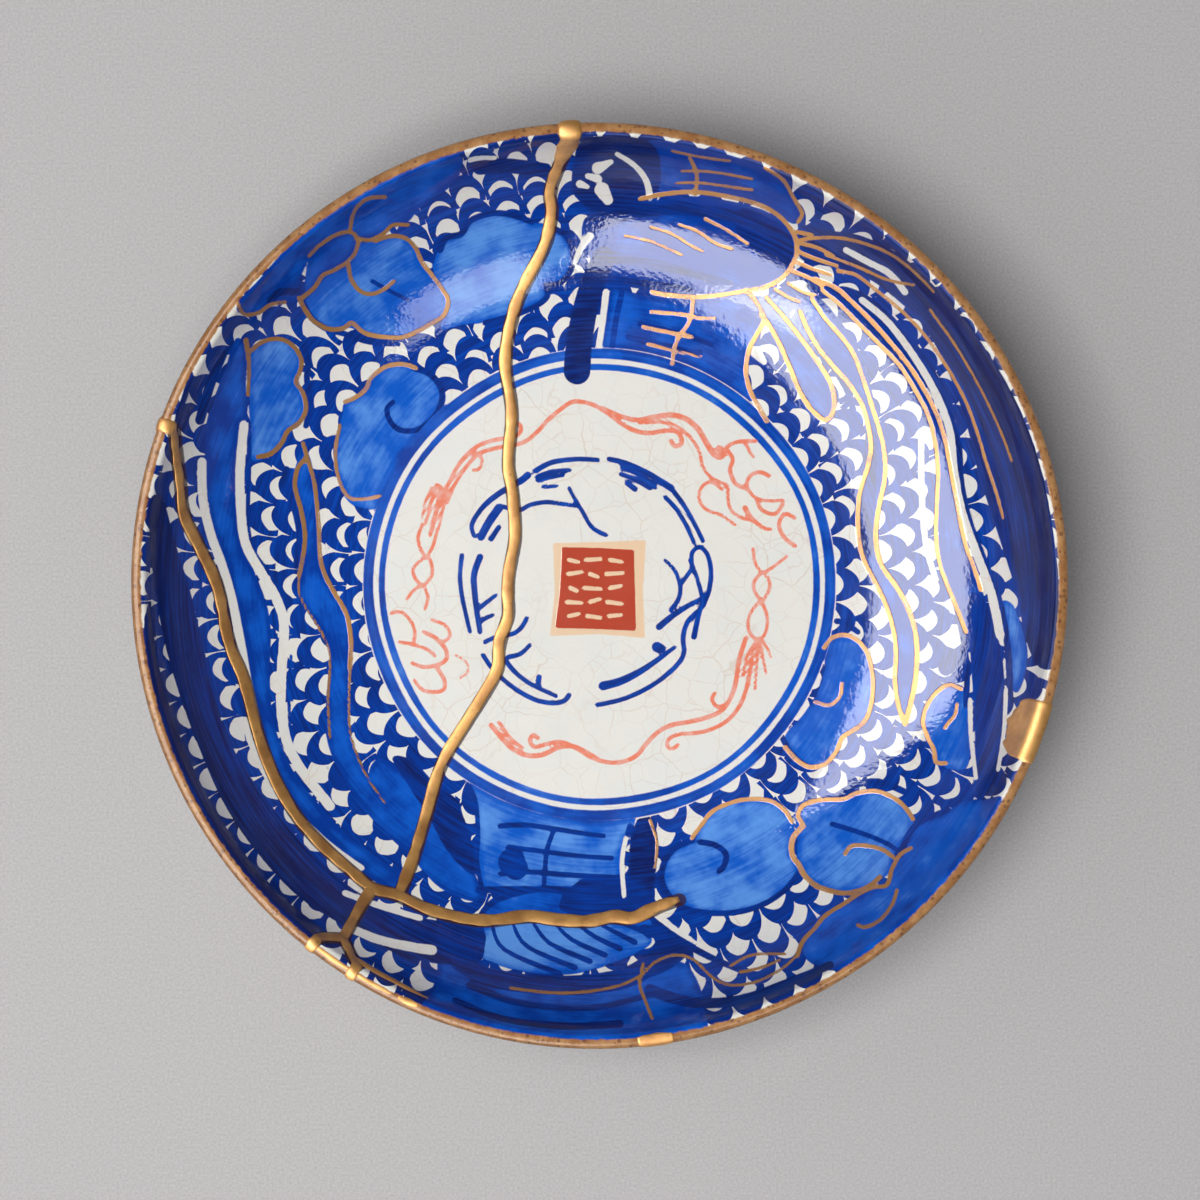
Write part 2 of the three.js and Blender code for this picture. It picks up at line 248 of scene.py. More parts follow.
# Closed washes of blue on the wall: the tone, 0 light, 1 mid and 1.75 dark, and the outline
WASHES = {
    "upper left rim": (1.35, [(238, 312), (240, 300), (262, 276), (290, 243), (322, 212), (360, 184),
     (400, 165), (440, 153), (462, 156), (458, 178), (440, 195), (420, 208), (408, 222), (388, 230),
     (368, 240), (350, 236), (330, 242), (312, 256), (300, 280), (298, 302), (275, 304), (258, 315)]),
    "upper left cloud": (0.75, [(350, 262), (354, 244), (375, 240), (392, 235), (408, 238), (418, 250),
     (424, 266), (438, 283), (448, 300), (445, 317), (430, 326), (410, 338), (385, 340), (362, 334),
     (350, 328), (332, 331), (315, 323), (304, 310), (299, 297), (314, 288), (322, 275), (336, 268)]),
    "upper left lobe": (1.25, [(304, 300), (308, 262), (322, 245), (338, 235), (352, 233), (357, 242),
     (352, 256), (340, 267), (325, 275), (316, 287)]),
    "upper middle cloud": (0.45, [(438, 248), (445, 237), (460, 234), (468, 221), (486, 213), (508, 213),
     (530, 221), (550, 225), (566, 236), (573, 252), (571, 270), (560, 283), (546, 286), (547, 296),
     (534, 306), (512, 316), (488, 322), (462, 326), (440, 330), (444, 305), (436, 285), (432, 266)]),
    "small left cloud": (0.6, [(249, 352), (262, 341), (280, 338), (294, 346), (302, 360), (298, 378),
     (304, 395), (306, 410), (299, 426), (287, 433), (281, 447), (266, 458), (254, 462), (247, 452),
     (250, 430), (248, 390)]),
    "inner left cloud": (0.6, [(345, 402), (360, 394), (368, 380), (383, 367), (402, 363), (422, 368),
     (438, 380), (446, 396), (442, 412), (452, 402), (432, 428), (410, 452), (392, 480), (378, 507),
     (358, 508), (344, 496), (337, 476), (333, 450), (338, 428), (342, 412)]),
    "right panel": (1.3, [(608, 292), (640, 294), (680, 299), (725, 298), (752, 300), (762, 318), (752, 345),
     (748, 372), (754, 398), (742, 406), (715, 384), (680, 367), (640, 356), (604, 353)]),
    "sack": (1.7, [(583, 222), (600, 212), (640, 203), (690, 196), (735, 202), (770, 213), (790, 230),
     (797, 250), (788, 270), (765, 287), (725, 294), (680, 293), (640, 287), (605, 272), (585, 250)]),
    "cloth above the sack": (1.6, [(645, 142), (690, 146), (740, 158), (775, 172), (792, 192), (802, 214),
     (792, 224), (765, 205), (725, 195), (690, 192), (655, 195)]),
    "long ribbon": (1.5, [(752, 298), (765, 296), (775, 292), (810, 292), (838, 318), (862, 358), (876, 408),
     (886, 452), (880, 500), (877, 548), (896, 585), (915, 630), (915, 680), (905, 722), (897, 690),
     (896, 645), (882, 598), (860, 552), (859, 505), (869, 455), (866, 415), (845, 378), (815, 340),
     (800, 312), (790, 318), (815, 356), (832, 390), (833, 412), (824, 420), (802, 396), (782, 352),
     (765, 320)]),
    "outer ribbon": (1.6, [(822, 282), (855, 303), (895, 346), (925, 388), (945, 438), (955, 490),
     (964, 540), (985, 598), (998, 640), (1003, 690), (1002, 745), (992, 790), (974, 792), (975, 740),
     (972, 680), (968, 640), (955, 602), (940, 560), (938, 500), (935, 445), (920, 400), (892, 360),
     (850, 315)]),
    "leaf by the right lip": (0.7, [(1001, 602), (1014, 606), (1026, 640), (1027, 668), (1018, 692),
     (1010, 684), (1008, 650), (1003, 625)]),
    "right cloud": (0.7, [(785, 736), (802, 716), (816, 694), (824, 668), (826, 646), (842, 635), (858, 640),
     (870, 658), (875, 685), (872, 710), (862, 727), (844, 738), (838, 753), (824, 767), (806, 768),
     (792, 755)]),
    "far right cloud": (0.8, [(925, 738), (922, 716), (929, 697), (943, 686), (958, 684), (970, 696),
     (972, 725), (968, 766), (950, 770), (938, 763), (931, 751)]),
    "lower right cloud": (0.5, [(658, 878), (664, 860), (676, 847), (694, 839), (700, 824), (714, 809),
     (732, 801), (755, 798), (776, 801), (790, 814), (795, 832), (791, 850), (799, 872), (786, 892),
     (762, 906), (735, 913), (705, 912), (682, 905), (666, 893)]),
    "round cloud": (0.6, [(796, 832), (797, 814), (810, 804), (832, 799), (850, 795), (870, 789), (892, 795),
     (905, 805), (914, 820), (907, 838), (896, 853), (890, 872), (868, 889), (845, 893), (822, 888),
     (805, 877), (797, 860)]),
    "lower right rim": (1.1, [(917, 824), (945, 812), (962, 801), (985, 799), (1002, 798), (988, 828),
     (965, 862), (938, 895), (902, 928), (872, 950), (842, 970), (816, 966), (802, 952), (808, 930),
     (824, 912), (845, 901), (868, 889), (887, 884), (891, 862), (902, 846)]),
    "lower panel": (0.55, [(468, 784), (482, 791), (505, 800), (545, 811), (600, 818), (634, 815),
     (628, 845), (623, 872), (628, 902), (590, 908), (540, 893), (500, 893), (481, 889), (478, 850),
     (476, 818)]),
    "cap over the shell": (1.1, [(476, 934), (480, 912), (500, 894), (545, 886), (600, 890), (645, 906),
     (660, 922), (640, 930), (580, 922), (520, 920)]),
    "bottom shell": (0.35, [(478, 955), (482, 934), (496, 923), (530, 917), (580, 919), (625, 925),
     (652, 938), (640, 952), (612, 964), (575, 974), (535, 974), (500, 966)]),
    "bottom rim": (1.4, [(440, 950), (470, 962), (500, 975), (560, 984), (620, 980), (668, 962), (690, 968),
     (705, 1005), (700, 1042), (620, 1052), (540, 1052), (470, 1036), (420, 1012), (436, 985)]),
    "lower left leaf": (1.2, [(378, 758), (400, 768), (425, 800), (455, 842), (478, 880), (478, 902),
     (440, 888), (408, 852), (385, 815), (368, 780)]),
    "left ribbon": (1.3, [(236, 338), (248, 350), (246, 380), (247, 415), (243, 450), (236, 480), (238, 512),
     (244, 545), (256, 575), (266, 602), (271, 630), (270, 680), (273, 715), (281, 745), (296, 775),
     (320, 805), (350, 836), (382, 860), (404, 876), (398, 893), (372, 880), (342, 858), (308, 822),
     (282, 785), (266, 748), (257, 712), (250, 675), (243, 638), (234, 600), (224, 568), (214, 535),
     (208, 500), (205, 460), (206, 425), (214, 398), (226, 366)]),
    "inner left ribbon": (1.3, [(304, 450), (311, 460), (316, 490), (318, 520), (319, 552), (324, 574),
     (333, 592), (344, 606), (351, 624), (352, 650), (350, 690), (350, 730), (360, 762), (380, 792),
     (408, 824), (445, 858), (470, 885), (440, 882), (410, 856), (380, 828), (355, 798), (336, 766),
     (326, 735), (326, 700), (330, 662), (325, 638), (314, 622), (303, 604), (298, 588), (298, 565),
     (303, 540), (300, 512), (294, 490), (295, 468)]),
}

# Closed shapes of dark blue: the depth, from 0 for blue to 1 for near black, and the outline
DARKS = {
    "form above the bar": (0.7, [(574, 160), (582, 140), (610, 136), (645, 140), (660, 158), (656, 196),
     (620, 208), (600, 214), (584, 205), (572, 190)]),
    "left rim ribbon": (0.75, [(150, 500), (163, 500), (176, 545), (190, 590), (200, 632), (212, 682),
     (222, 722), (238, 757), (262, 793), (288, 826), (318, 858), (352, 888), (395, 910), (450, 922),
     (480, 915), (482, 960), (450, 965), (400, 955), (352, 930), (300, 898), (255, 850), (222, 800),
     (196, 740), (178, 690), (164, 640), (155, 590), (150, 545)]),
    "left rim": (0.65, [(150, 600), (156, 650), (168, 700), (188, 755), (214, 808), (246, 855), (286, 900),
     (330, 935), (322, 945), (280, 925), (232, 875), (196, 820), (168, 755), (150, 690), (143, 640)]),
    "right rim ribbon": (0.55, [(835, 258), (862, 242), (900, 258), (930, 282), (966, 322), (996, 365),
     (1018, 405), (1034, 445), (1046, 490), (1055, 545), (1060, 600), (1060, 660), (1040, 668), (1026, 640),
     (1016, 592), (1003, 550), (990, 510), (978, 472), (968, 430), (955, 390), (940, 354), (920, 322),
     (895, 298), (868, 278)]),
    "ribbon below the right cloud": (0.45, [(968, 600), (985, 600), (1000, 645), (1005, 690), (1004, 740),
     (998, 778), (985, 796), (976, 790), (976, 740), (974, 680)]),
    "dark under the sack mouth": (0.5, [(742, 208), (772, 217), (790, 235), (794, 252), (786, 268),
     (768, 262), (750, 248), (735, 228)]),
    "bar of the lower panel": (0.85, [(640, 815), (650, 816), (658, 838), (656, 870), (650, 897), (632, 900),
     (629, 870), (631, 838)]),
    "shade of the lower panel": (0.45, [(580, 880), (620, 876), (650, 892), (655, 912), (620, 918),
     (560, 910)]),
    "left leaf": (0.6, [(392, 758), (412, 760), (436, 784), (458, 800), (462, 812), (470, 835), (478, 868),
     (470, 874), (448, 852), (430, 820), (410, 788)]),
    "shade at the shell's right end": (0.4, [(640, 925), (668, 930), (692, 945), (680, 962), (655, 976),
     (620, 982), (600, 978), (640, 960), (655, 942)]),
    "dark beside the lower panel": (0.55, [(440, 920), (470, 925), (486, 935), (478, 958), (455, 958),
     (438, 945)]),
    "dark right of the sack": (0.6, [(800, 226), (825, 230), (862, 236), (902, 256), (936, 290), (958, 326),
     (938, 318), (905, 296), (870, 280), (835, 268), (800, 258)]),
    "band round the outer white": (0.5, [(842, 286), (872, 298), (906, 330), (936, 372), (950, 404),
     (940, 408), (918, 376), (888, 342), (856, 312), (830, 296)]),
    "lobe by the right ring": (0.4, [(938, 668), (950, 650), (956, 652), (957, 668), (946, 676)]),
}

# Blue lines: depth, half widths at both ends, and the points
LINES = [
    (0.8, 10.5, 13.5, [(604, 258), (592, 285), (584, 315), (579, 345), (577, 371)]),
    (0.5, 6, 4, [(598, 256), (640, 262), (690, 273), (730, 285)]),
    (0.5, 9, 6, [(592, 224), (622, 214), (665, 208), (712, 212), (745, 220)]),
    (0.5, 5, 5, [(598, 276), (640, 284), (690, 291)]),
    (0.2, 3, 3, [(622, 292), (616, 320), (612, 348)]),
    (0.3, 3, 3, [(628, 337), (660, 345), (700, 353)]),
    (0.3, 3, 2.6, [(640, 324), (680, 334), (712, 345)]),
    (0.6, 8, 7, [(480, 167), (510, 166), (545, 170)]),
    (0.5, 3.4, 3, [(440, 250), (446, 238), (461, 234), (470, 221), (488, 214), (508, 214), (532, 222)]),
    (0.5, 3, 3, [(546, 225), (565, 235), (573, 253), (571, 270), (560, 283), (546, 285)]),
    (0.4, 3, 3, [(546, 285), (547, 297), (534, 307), (512, 316), (485, 323)]),
    (0.3, 2.2, 2, [(372, 281), (390, 291), (408, 300)]),
    (0.6, 3.4, 2.6, [(414, 368), (430, 374), (441, 388), (441, 404), (431, 420), (416, 430), (400, 430),
     (390, 421), (387, 409), (393, 402)]),
    (0.4, 3.2, 2.8, [(302, 300), (310, 316), (325, 328), (345, 334), (370, 342), (398, 344)]),
    (0.5, 3.4, 3, [(302, 344), (308, 360), (307, 380), (311, 400), (306, 426)]),
    (0.4, 3, 3, [(478, 930), (484, 910), (505, 897), (545, 889), (600, 893), (640, 908), (655, 922)]),
    (0.6, 4, 3, [(470, 985), (520, 1003), (590, 1008), (650, 995)]),
    (0.5, 3, 4, [(455, 1000), (500, 1018), (560, 1026), (620, 1024)]),
    (1, 1.6, 1.2, [(850, 262), (890, 274), (925, 302), (958, 345), (985, 395), (1005, 440), (1022, 490),
     (1034, 545), (1040, 600)]),
    (1, 1.4, 1.2, [(905, 272), (945, 312), (978, 365), (1003, 415), (1024, 470), (1040, 530), (1046, 590)]),
    (1, 1.4, 1, [(930, 322), (957, 362), (978, 410), (992, 455), (1004, 505), (1016, 555), (1024, 610)]),
    (0.3, 2.4, 2, [(249, 424), (249, 470), (248, 520), (253, 549), (268, 571), (282, 590), (287, 612)]),
    (0, 1.8, 1.8, [(291, 656), (289, 700), (291, 738)]),
    (0.4, 4.2, 3.4, [(286, 470), (287, 488), (296, 512), (300, 540), (296, 566)]),
    (0.3, 2.4, 2.4, [(470, 786), (476, 805), (478, 836), (477, 862), (482, 888)]),
    (0.4, 2.8, 2.4, [(500, 826), (525, 825), (555, 829), (580, 833), (604, 836)]),
    (0.3, 2.6, 2.4, [(508, 847), (540, 851), (580, 856), (612, 858)]),
    (0.3, 2.6, 2.8, [(500, 874), (530, 872), (570, 875), (622, 878)]),
    (0.4, 2.4, 2.4, [(553, 832), (547, 850), (545, 870), (544, 884)]),
    (0.2, 14, 12, [(512, 862), (516, 868)]),
    (0.4, 3, 3, [(478, 890), (510, 889), (550, 890), (580, 896)]),
    (0.4, 3, 2.6, [(630, 826), (624, 850), (623, 875), (626, 898)]),
    (0.5, 3.2, 2.8, [(693, 840), (675, 848), (664, 863), (662, 881), (671, 898), (687, 909), (710, 913),
     (738, 912), (764, 904), (786, 889), (799, 872)]),
    (0.6, 3, 3, [(700, 842), (715, 845), (726, 854), (724, 866), (719, 871)]),
    (0.3, 2.6, 2.4, [(832, 824), (858, 832), (884, 842), (900, 852)]),
    (0.4, 3.4, 3, [(900, 855), (908, 836), (920, 822), (948, 810)]),
    (0.5, 3.4, 3.4, [(868, 306), (898, 334), (925, 370), (946, 406), (958, 442), (961, 482), (969, 520),
     (984, 560), (999, 600), (1008, 650), (1010, 698)]),
    (0.3, 5, 4, [(812, 286), (845, 300), (880, 336), (912, 374), (934, 412), (948, 446)]),
    (0.4, 3, 3, [(955, 600), (962, 632), (967, 668), (966, 705)]),
    (0.5, 6, 8, [(872, 425), (870, 470), (868, 510), (866, 550)]),
    (0.3, 4, 3, [(800, 320), (830, 362), (848, 392), (856, 425)]),
    (0.4, 3.2, 2.8, [(827, 622), (842, 622), (858, 632)]),
    (0.4, 3, 3, [(778, 728), (790, 752), (806, 766)]),
    (0.4, 3.4, 3.4, [(838, 795), (858, 784), (880, 782), (905, 792)]),
    (0.6, 9, 11, [(460, 962), (485, 976), (530, 984), (580, 985), (625, 978), (655, 962), (680, 948)]),
    (0.5, 4, 3, [(655, 918), (680, 940), (712, 958), (745, 972)]),
    (0.6, 6, 4, [(650, 990), (690, 1002), (740, 1000), (800, 978), (830, 965)]),
    (0.5, 4, 4, [(270, 300), (280, 292), (300, 292)]),
    (0.5, 5, 5, [(222, 355), (210, 385), (200, 420)]),
    (0.4, 3, 3, [(190, 380), (182, 405), (172, 440)]),
]

# White left bare between the brush strokes: half widths at both ends, and the points
BARE_LINES = [
    (3.4, 3, [(606, 292), (603, 318), (599, 345)]),
    (2.2, 3.4, [(617, 154), (634, 165), (646, 180), (650, 197)]),
    (6, 2.5, [(598, 168), (611, 162)]),
    (7.5, 5, [(602, 190), (608, 200)]),
    (3, 4, [(588, 176), (598, 179)]),
    (4, 2, [(580, 184), (588, 187)]),
    (4.5, 5, [(244, 425), (240, 470), (241, 512), (246, 545), (262, 574), (276, 598), (284, 625), (282, 665),
     (281, 705), (287, 742), (303, 772), (330, 806)]),
    (4.5, 4.5, [(202, 462), (203, 500), (211, 535), (222, 565), (232, 600), (240, 640), (247, 680),
     (256, 722)]),
    (3.4, 2.6, [(245, 722), (252, 745), (268, 778), (295, 812), (330, 845), (362, 868)]),
    (3.2, 4.5, [(862, 300), (888, 322), (915, 358), (937, 396), (950, 432), (954, 470), (962, 512),
     (976, 552), (991, 592), (1000, 635)]),
    (3, 3.4, [(846, 250), (868, 262), (890, 274), (905, 292)]),
    (2.4, 2, [(970, 700), (971, 735), (976, 778)]),
    (2.2, 2, [(1006, 690), (1004, 730), (998, 770)]),
    (4, 5, [(350, 928), (380, 940), (412, 947), (432, 950)]),
    (3, 3, [(345, 893), (380, 906), (420, 918)]),
    (2.2, 2.4, [(626, 838), (622, 862), (624, 896)]),
    (2.6, 2, [(470, 160), (480, 158), (495, 158)]),
    (3.6, 2, [(656, 914), (676, 930), (696, 943)]),
    (4, 2.5, [(590, 236), (582, 246), (575, 262)]),
    (6, 3, [(756, 352), (764, 362)]),
    (3.2, 3, [(921, 440), (922, 500), (926, 545), (936, 580)]),
]

# Overglaze gold on the wall: half widths at both ends, and the points
GOLD_SHARE = 0.85  # how much of those widths the worn lines still have
GOLD_INTO_WELL = 6.0  # how far past the edge of the well they run, in pixels
GOLDS = [
    (2.6, 2.8, [(375, 241), (391, 236), (405, 238), (415, 247), (422, 262), (431, 274), (440, 286),
     (448, 300), (444, 315), (432, 323), (418, 331), (403, 337), (385, 337), (365, 333), (352, 323),
     (344, 328), (329, 329), (314, 321), (305, 310), (299, 298)]),
    (2.6, 2.4, [(348, 262), (351, 279), (360, 291), (371, 294), (383, 290), (394, 281)]),
    (2.2, 2.6, [(309, 256), (320, 245), (336, 235), (350, 232), (358, 240), (355, 253), (346, 263),
     (334, 270), (322, 276), (315, 287), (302, 298)]),
    (2.2, 2.4, [(350, 232), (354, 212), (367, 199), (385, 197)]),
    (2.4, 2.2, [(356, 238), (370, 240), (384, 233), (393, 225), (408, 225)]),
    (2.4, 2.2, [(238, 304), (244, 314), (258, 313), (270, 305), (285, 302)]),
    (2.6, 2.8, [(250, 352), (262, 342), (279, 339), (292, 345), (301, 358), (300, 371), (296, 382),
     (303, 393), (306, 408), (300, 422), (288, 431), (281, 444), (270, 454), (258, 457)]),
    (3, 2, [(246, 340), (249, 365), (248, 395)]),
    (2.6, 2.8, [(345, 402), (356, 397), (366, 389), (371, 378), (385, 367), (402, 364), (416, 368)]),
    (2.2, 2.2, [(340, 425), (336, 446), (336, 466), (341, 485), (350, 498), (365, 499), (380, 496)]),
    (2.8, 2.6, [(307, 457), (298, 468), (295, 486), (301, 510), (305, 534), (303, 556), (299, 576)]),
    (2.4, 2.8, [(303, 443), (308, 460), (314, 481), (317, 505), (319, 530), (320, 556), (325, 575),
     (334, 592), (342, 605), (348, 619), (351, 642), (350, 668)]),
    (1.6, 1.6, [(299, 576), (299, 592), (306, 608), (317, 625), (326, 642), (330, 662), (328, 700),
     (330, 738)]),
    (1.6, 1.4, [(350, 668), (349, 710), (352, 740), (366, 775), (385, 803)]),
    (2.6, 2.8, [(640, 199), (665, 194), (695, 192), (730, 197), (760, 205), (780, 217), (793, 233),
     (797, 249), (793, 263), (783, 277), (765, 287), (745, 291), (720, 295), (695, 297), (668, 295),
     (652, 292)]),
    (1.8, 1.8, [(625, 236), (650, 241), (671, 250), (682, 255)]),
    (1.8, 1.8, [(650, 227), (670, 233), (690, 245), (704, 252)]),
    (1.8, 2.2, [(679, 225), (697, 231), (715, 243), (732, 249)]),
    (2, 1.8, [(705, 219), (725, 229), (748, 244)]),
    (1.6, 1.6, [(672, 151), (700, 157), (730, 161)]),
    (1.6, 1.6, [(682, 171), (712, 172), (752, 179)]),
    (1.6, 1.8, [(676, 183), (702, 183), (738, 188), (752, 190)]),
    (2.2, 2.4, [(690, 158), (697, 175), (695, 194)]),
    (2.2, 2.4, [(765, 168), (783, 180), (793, 197), (802, 213), (798, 222)]),
    (2.4, 2.2, [(651, 312), (680, 314), (700, 318), (715, 318)]),
    (2.4, 2.4, [(643, 327), (667, 332), (692, 337)]),
    (2.2, 1.6, [(648, 344), (680, 352), (702, 357)]),
    (2.4, 2.6, [(693, 300), (690, 320), (676, 343), (672, 368)]),
    (2.8, 2.8, [(746, 290), (757, 303), (764, 319), (757, 334), (749, 350), (746, 371), (750, 390),
     (758, 406), (767, 421)]),
    (2.8, 3, [(766, 297), (784, 317), (800, 337), (815, 358), (828, 378), (834, 396), (833, 412), (825, 420),
     (812, 410), (800, 392), (790, 368), (780, 345), (769, 325), (761, 315)]),
    (2.8, 2.8, [(800, 311), (808, 330), (820, 350), (835, 368), (850, 385), (862, 405), (868, 425),
     (871, 446), (868, 466), (860, 492), (858, 516), (859, 540), (864, 560), (874, 580), (885, 603),
     (893, 628), (896, 652), (895, 682), (899, 708), (905, 724)]),
    (2.6, 3.2, [(812, 299), (825, 318), (840, 335), (853, 353), (862, 376), (870, 400), (878, 425),
     (884, 450), (885, 476), (880, 502), (876, 527), (877, 550), (883, 568), (896, 586), (907, 606),
     (915, 630), (917, 656), (915, 682), (910, 706), (905, 724)]),
    (2.4, 2.6, [(822, 290), (840, 305), (860, 325), (880, 345), (900, 366), (915, 390), (928, 415),
     (935, 441), (938, 470), (937, 502), (936, 532), (939, 560), (946, 582), (956, 606), (966, 632)]),
    (2.6, 2.6, [(815, 279), (836, 288), (855, 305), (875, 325), (895, 348), (912, 370), (925, 391),
     (937, 415), (945, 440), (950, 466), (955, 492), (960, 520), (966, 546), (974, 568), (981, 590)]),
    (2.2, 1.8, [(838, 271), (856, 275), (876, 290), (896, 306), (915, 324), (932, 345), (950, 372),
     (966, 402), (977, 432), (986, 462), (996, 492), (1003, 518)]),
    (2.2, 1.6, [(800, 240), (815, 238), (840, 238), (866, 244), (890, 254), (912, 270), (934, 292)]),
    (1.8, 1.8, [(826, 255), (858, 267), (888, 280), (914, 285)]),
    (1.6, 1.4, [(930, 310), (955, 345), (980, 388), (1000, 430), (1012, 462)]),
    (2.4, 2.2, [(797, 232), (812, 235)]),
    (2.4, 2.2, [(800, 243), (818, 248), (833, 256)]),
    (2.4, 2.2, [(799, 252), (816, 259), (837, 266)]),
    (2.4, 2.2, [(797, 262), (813, 269), (831, 275)]),
    (2.4, 2.2, [(792, 271), (809, 278), (822, 286)]),
    (2.2, 2, [(788, 283), (803, 292), (815, 295)]),
    (2.2, 2, [(775, 289), (788, 297), (800, 302)]),
    (2.6, 2.8, [(824, 648), (832, 638), (845, 635), (858, 641), (868, 655), (873, 680), (871, 705),
     (864, 722), (852, 731), (842, 738), (836, 752), (825, 764), (810, 767), (797, 760), (785, 747)]),
    (2.4, 2.2, [(842, 683), (840, 696), (830, 705), (815, 702)]),
    (2.6, 2.6, [(961, 689), (949, 685), (937, 692), (927, 706), (923, 722), (928, 738), (934, 750),
     (936, 762), (946, 763)]),
    (2.2, 2.2, [(957, 704), (955, 715), (949, 722), (945, 728)]),
    (2.6, 2.6, [(692, 838), (700, 827), (712, 812), (730, 803), (750, 799), (771, 801), (785, 811),
     (792, 822)]),
    (2.8, 2.6, [(804, 826), (798, 815), (804, 805), (820, 800), (843, 799), (857, 793), (875, 791),
     (892, 797), (904, 806), (913, 819)]),
    (3.4, 2.8, [(803, 826), (793, 838), (792, 854), (799, 865), (806, 877), (821, 888), (845, 893),
     (866, 888), (880, 877)]),
    (2.6, 2.6, [(845, 854), (852, 846), (868, 846), (883, 850), (893, 857)]),
    (2.4, 2.6, [(911, 848), (900, 855), (892, 869), (887, 885), (874, 887), (860, 893), (845, 903),
     (826, 915), (815, 928), (803, 941), (797, 956)]),
    (2.2, 2.4, [(897, 890), (892, 905), (880, 920), (866, 927), (858, 925)]),
    (1.8, 1.6, [(510, 988), (560, 993), (610, 988), (640, 976), (655, 962), (675, 955), (694, 960),
     (712, 977), (730, 985), (755, 982), (780, 970), (795, 957)]),
    (2, 2, [(643, 964), (640, 985), (645, 1000), (652, 1018)]),
    (1.8, 1.6, [(730, 966), (752, 955), (785, 954)]),
    (1.8, 1.6, [(740, 972), (760, 968), (780, 960)]),
    (1.8, 1.6, [(650, 820), (657, 842), (655, 868)]),
]

# The bottom shell's ribs run from its upper edge round to its right end
SHELL_RIBS = 7
SHELL_RIB_HALVES = (1.8, 3.0)
SHELL_RIB_DEPTH = 0.3
SHELL_FIRST = ((492, 925), (505, 950), (560, 974))
SHELL_LAST = ((618, 922), (640, 930), (650, 936))

# The scale pattern between the figures, in pixels
SCALE_ROW = 24.5  # from one row to the next
SCALE_WIDTH = 33.0  # from one scale to its neighbour
SCALE_OUT = 24.0  # half a scale, outwards
SCALE_ALONG = 18.0  # half a scale, along its row
SCALE_CROWN = 24.0  # the dark stroke's width at a scale's crown
SCALE_TIP = 6.8  # and at its sides
SCALE_SHAKE = 5.0  # how far a hand-painted scale strays from its place
SCALE_UNDER_WASH = 1.2  # how far the scales reach under a wash

# Where the wall's paint darkens towards the lip, as heights above the table in metres
DARKER_FROM, DARKER_TO = 0.026, 0.037

TABLE_HALF = 1500.0  # millimetres
SENSOR_WIDTH = 36.0  # millimetres
ROOM_COLOUR = (0.85, 0.88, 0.95, 1)
ROOM_STRENGTH = 0.06


# Lesser tones that are mixed into the panel's colours
GREY_GLAZE, CRACK_STAIN, SPECK = "dfe3e2", "c9a582", "4a3a26"
OCHRE, RUST = "b98650", "6b3f1c"
PALE_BISCUIT, DARK_BISCUIT = "c9b79c", "9d8468"
DARK_GOLD, THIN_GOLD = "a06f38", "7c5226"
PALE_TABLE = "c9c6c6"


def linear(code):
    """A colour as Blender wants it, from six hexadecimal digits."""
    channels = [int(code[i:i + 2], 16) / 255 for i in (0, 2, 4)]
    return tuple(c / 12.92 if c <= 0.04045 else ((c + 0.055) / 1.055) ** 2.4 for c in channels)


def length_value(name, description, default):
    return bpy.props.FloatProperty(name=name, description=description, default=default, unit="LENGTH",
                                   min=0.0, precision=5)


def angle_value(name, description, degrees):
    return bpy.props.FloatProperty(name=name, description=description, default=math.radians(degrees),
                                   subtype="ANGLE")


def colour_value(name, description, code):
    return bpy.props.FloatVectorProperty(name=name, description=description, default=linear(code),
                                         subtype="COLOR", min=0.0, max=1.0)


class DishSizes(bpy.types.PropertyGroup):
    """The porcelain form"""
    rim_radius: length_value("Rim Radius", "Outer radius of the lip", 0.073)
    rim_height: length_value("Rim Height", "Height of the lip above the table", 0.039)
    lip_thickness: length_value("Lip Thickness", "Thickness of the wall at the lip", 0.0024)
    wall_lean: angle_value("Wall Lean", "Lean of the wall at the lip, from upright", 12)
    well_radius: length_value("Well Radius", "Where the flat well turns up into the wall", 0.037)
    floor_thickness: length_value("Floor Thickness", "Thickness of the floor of the well", 0.0045)
    foot_radius: length_value("Foot Radius", "Outer radius of the foot ring", 0.042)
    foot_width: length_value("Foot Width", "Width of the foot ring", 0.003)
    foot_height: length_value("Foot Height", "Height of the foot ring", 0.006)
    foot_fillet: length_value("Foot Fillet", "Fillet where the foot ring meets the body", 0.0012)
    foot_chamfer: length_value("Foot Chamfer", "Worn edge of the sole", 0.0005)
    oval_warp: length_value("Oval Warp", "How far the kiln drew the lip into an oval", 0.00042)
    oval_angle: angle_value("Oval Angle", "Direction of the oval", -4)
    triangle_warp: length_value("Triangle Warp", "How far the kiln drew the lip into a triangle", 0.00021)
    triangle_angle: angle_value("Triangle Angle", "Direction of the triangle", 10)


class GoldSizes(bpy.types.PropertyGroup):
    """The gold on the breaks"""
    seam_width: length_value("Seam Width", "Width of a gold seam", 0.0018)
    knob_width: length_value("Knob Width", "Width of the long seam where it passes over the lip", 0.0036)
    sliver_width: length_value("Sliver Width", "Width of the gold sliver along the lip", 0.0019)
    bead_height: length_value("Bead Height", "How far the gold stands proud of the glaze", 0.00026)
    chip_height: length_value("Chip Height", "How far a chip's fill stands proud of the glaze", 0.00022)


